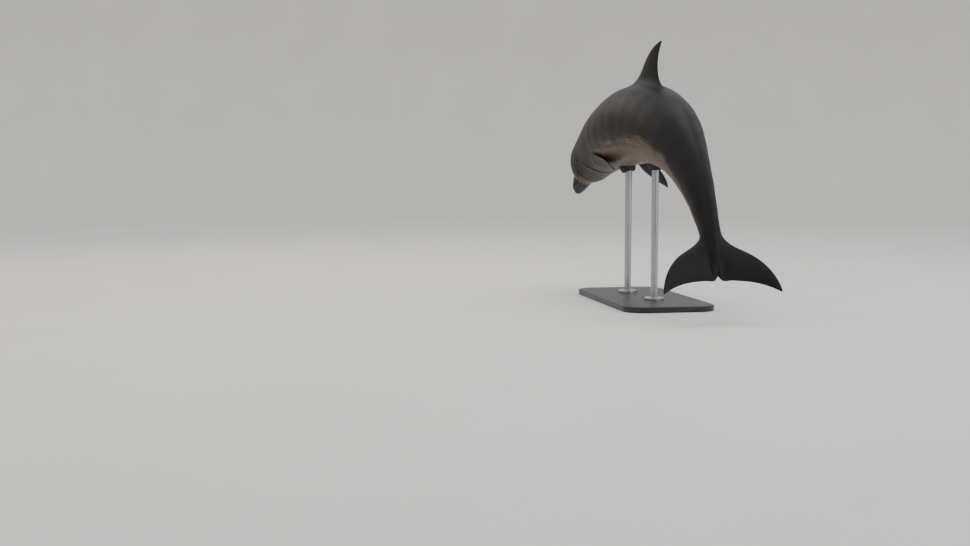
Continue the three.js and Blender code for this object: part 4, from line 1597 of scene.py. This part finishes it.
@dataclass(frozen=True)
class BrushedSteel:
    """Stainless steel bar brushed round and round: fine rings and a soft broad gloss."""

    tone: str = "a7a8aa"
    # Brush lines are under 0.2 mm apart; they are drawn at 1 mm so that they show.
    line_spacing: float = 1 * MM
    smear_size: float = 50 * MM

    def material(self) -> bpy.types.Material:
        """Build the steel's material.

        Returns:
            The material.
        """
        made, tree, shader = new_material("brushed_steel")
        place = add_node(tree, "ShaderNodeTexCoord").outputs["Object"]
        rings = Vector((8.0, 8.0, 1 / self.line_spacing))
        scaled = add_node(tree, "ShaderNodeVectorMath", {0: place, 1: rings}, operation="MULTIPLY")
        lines = add_node(tree, "ShaderNodeTexNoise", {"Vector": scaled.outputs[0], "Scale": 1.0, "Detail": 3.0})
        smear = add_node(tree, "ShaderNodeTexNoise", {"Vector": place, "Scale": 1 / self.smear_size, "Detail": 3.0})
        shader.inputs["Base Color"].default_value = colour(self.tone)
        shader.inputs["Metallic"].default_value = 1.0
        both = {0: lines.outputs["Fac"], 1: smear.outputs["Fac"]}
        total = add_node(tree, "ShaderNodeMath", both, operation="ADD")
        gloss = {"Value": total.outputs[0], "From Max": 2.0, "To Min": 0.18, "To Max": 0.46}
        rubbed = add_node(tree, "ShaderNodeMapRange", gloss)
        tree.links.new(rubbed.outputs["Result"], shader.inputs["Roughness"])
        bump = {"Height": lines.outputs["Fac"], "Strength": 0.12, "Distance": 0.1 * MM}
        uneven = add_node(tree, "ShaderNodeBump", bump)
        tree.links.new(uneven.outputs["Normal"], shader.inputs["Normal"])
        return made


@dataclass(frozen=True)
class MouldedRubber:
    """Black rubber moulded as a cradle: matt, with a fine spark-eroded grain and a grey bloom."""

    tone: str = "161616"
    bloom: str = "262625"
    # Moulding grain is about 0.5 mm; it is drawn at 1.5 mm so that it shows.
    grain_size: float = 1.5 * MM
    bloom_size: float = 25 * MM

    def material(self) -> bpy.types.Material:
        """Build the rubber's material.

        Returns:
            The material.
        """
        made, tree, shader = new_material("moulded_rubber")
        place = add_node(tree, "ShaderNodeTexCoord").outputs["Object"]
        grain = add_node(tree, "ShaderNodeTexNoise", {"Vector": place, "Scale": 1 / self.grain_size, "Detail": 2.0})
        bloom = add_node(tree, "ShaderNodeTexNoise", {"Vector": place, "Scale": 1 / self.bloom_size, "Detail": 4.0})
        blend = add_node(tree, "ShaderNodeMix", {"Factor": bloom.outputs["Fac"]}, data_type="RGBA")
        blend.inputs[6].default_value = colour(self.tone)
        blend.inputs[7].default_value = colour(self.bloom)
        tree.links.new(blend.outputs[2], shader.inputs["Base Color"])
        gloss = {"Value": bloom.outputs["Fac"], "To Min": 0.6, "To Max": 0.8}
        rubbed = add_node(tree, "ShaderNodeMapRange", gloss)
        tree.links.new(rubbed.outputs["Result"], shader.inputs["Roughness"])
        bump = {"Height": grain.outputs["Fac"], "Strength": 0.3, "Distance": 0.3 * MM}
        uneven = add_node(tree, "ShaderNodeBump", bump)
        tree.links.new(uneven.outputs["Normal"], shader.inputs["Normal"])
        return made


@dataclass(frozen=True)
class Plaster:
    """Pale painted studio floor and wall, matt with a faint unevenness."""

    tone: str = "dcdad6"
    shade: str = "d2d0cc"
    patch_size: float = 0.6

    def material(self) -> bpy.types.Material:
        """Build the studio's material.

        Returns:
            The material.
        """
        made, tree, shader = new_material("studio_paint")
        place = add_node(tree, "ShaderNodeTexCoord").outputs["Object"]
        patches = add_node(tree, "ShaderNodeTexNoise", {"Vector": place, "Scale": 1 / self.patch_size, "Detail": 2.0})
        blend = add_node(tree, "ShaderNodeMix", {"Factor": patches.outputs["Fac"]}, data_type="RGBA")
        blend.inputs[6].default_value = colour(self.tone)
        blend.inputs[7].default_value = colour(self.shade)
        tree.links.new(blend.outputs[2], shader.inputs["Base Color"])
        shader.inputs["Roughness"].default_value = 0.85
        return made


# ------------------------------------------------------------------------------- stand and studio


@dataclass
class Stand:
    """The display stand: a base plate, two rods with collars, and two hollowed pads."""

    base: str = "stand_base"
    steel: tuple[str, ...] = ("stand_rod_front", "stand_rod_rear", "stand_collar_front", "stand_collar_rear")
    rubber: tuple[str, ...] = ("stand_pad_front", "stand_pad_rear")

    def dress(self) -> None:
        """Give each part of the stand its finish."""
        dress(self.base, SatinLacquer().material())
        steel = BrushedSteel().material()
        rubber = MouldedRubber().material()
        for name in self.steel:
            dress(name, steel)
        for name in self.rubber:
            dress(name, rubber)
        LOG.info("stand: %d parts dressed", 1 + len(self.steel) + len(self.rubber))


@dataclass
class Studio:
    """A pale floor that curves up into a wall, soft lights, and the camera."""

    heading: float = -10.537
    pitch: float = -5.0
    place: tuple[float, float, float] = (-6.9757, 2.2809, 0.816)
    lens: float = 47.8
    floor_radius: float = 11.0
    sweep: float = 3.0
    wall_height: float = 3.5
    sweep_steps: int = 16
    turn_steps: int = 96

    def backdrop(self) -> None:
        """Spin the floor's edge and the wall that it curves up into, as one round dish."""
        bm = bmesh.new()
        quarter = [math.pi / 2 * i / self.sweep_steps for i in range(self.sweep_steps + 1)]
        profile = [(0.0, 0.0), (2.0, 0.0), (self.floor_radius, 0.0)]
        profile += [
            (self.floor_radius + math.sin(a) * self.sweep, (1 - math.cos(a)) * self.sweep) for a in quarter[1:]
        ]
        profile.append((profile[-1][0], self.sweep + self.wall_height))
        line = [bm.verts.new((x, 0.0, z)) for x, z in profile]
        edges = [bm.edges.new(pair) for pair in zip(line, line[1:])]
        full = {"angle": 2 * math.pi, "steps": self.turn_steps, "use_merge": True}
        bmesh.ops.spin(bm, geom=line + edges, cent=(0, 0, 0), axis=(0, 0, 1), **full)
        bmesh.ops.remove_doubles(bm, verts=bm.verts[:], dist=0.1 * MM)
        bmesh.ops.recalc_face_normals(bm, faces=bm.faces[:])
        if sum(f.normal.z for f in bm.faces) < 0:
            bmesh.ops.reverse_faces(bm, faces=bm.faces[:])
        mesh = bpy.data.meshes.new("studio_dish")
        bm.to_mesh(mesh)
        bm.free()
        mesh.polygons.foreach_set("use_smooth", np.ones(len(mesh.polygons), bool))
        mesh.materials.append(Plaster().material())
        made = bpy.data.objects.new("studio_dish", mesh)
        bpy.context.scene.collection.objects.link(made)

    def light(self, name: str, place: tuple[float, float, float], aim: tuple[float, float, float],
              size: float, power: float, tone: str) -> None:
        """Hang one soft square light.

        Args:
            name: The light's name.
            place: Where it hangs.
            aim: The point that it faces.
            size: Its side in metres.
            power: Its power in watts.
            tone: Its colour as sRGB hex.
        """
        lamp = bpy.data.lights.new(name, "AREA")
        lamp.shape = "SQUARE"
        lamp.size = size
        lamp.energy = power
        lamp.color = colour(tone)[:3]
        made = bpy.data.objects.new(name, lamp)
        made.location = place
        made.rotation_euler = (Vector(aim) - Vector(place)).to_track_quat("-Z", "Y").to_euler()
        bpy.context.scene.collection.objects.link(made)

    def lights(self) -> None:
        """Light the studio: a high key from the left, a soft rim behind, a fill, and a pale room."""
        middle = (0.0, 0.0, 0.9)
        self.light("key", (-2.5, 6.0, 5.0), middle, 4.5, 45.0, "fff4e6")
        self.light("rim", (4.5, 3.0, 4.0), middle, 3.0, 45.0, "ffeeda")
        self.light("fill", (-5.0, -4.5, 3.0), middle, 5.0, 120.0, "eef3ff")
        self.light("top", (0.0, 0.0, 7.0), middle, 5.0, 200.0, "ffffff")
        world = bpy.data.worlds.new("studio_room")
        world.use_nodes = True
        world.node_tree.nodes.clear()
        back = add_node(world.node_tree, "ShaderNodeBackground", {"Color": colour("e6e7ea"), "Strength": 1.3})
        add_node(world.node_tree, "ShaderNodeOutputWorld", {"Surface": back.outputs["Background"]})
        bpy.context.scene.world = world

    def camera(self) -> None:
        """Set the camera."""
        lens = bpy.data.cameras.new("camera")
        lens.lens = self.lens
        lens.sensor_width = 36.0
        lens.sensor_fit = "HORIZONTAL"
        lens.clip_end = 100.0
        made = bpy.data.objects.new("camera", lens)
        made.location = self.place
        turns = (math.radians(90 + self.pitch), 0.0, math.radians(self.heading - 90))
        made.rotation_euler = Euler(turns, "XYZ")
        bpy.context.scene.collection.objects.link(made)
        bpy.context.scene.camera = made

    def build(self) -> None:
        """Build the backdrop, the lights and the camera."""
        self.backdrop()
        self.lights()
        self.camera()
        LOG.info("studio: built")


def main() -> None:
    """Build the animal, dress the stand, and set up the studio."""
    logging.basicConfig(level=logging.INFO, format="%(name)s %(message)s")
    Studio().build()
    Animal().build()
    Eye(left=True).build()
    Eye(left=False).build()
    Stand().dress()


if __name__ == "__main__":
    main()
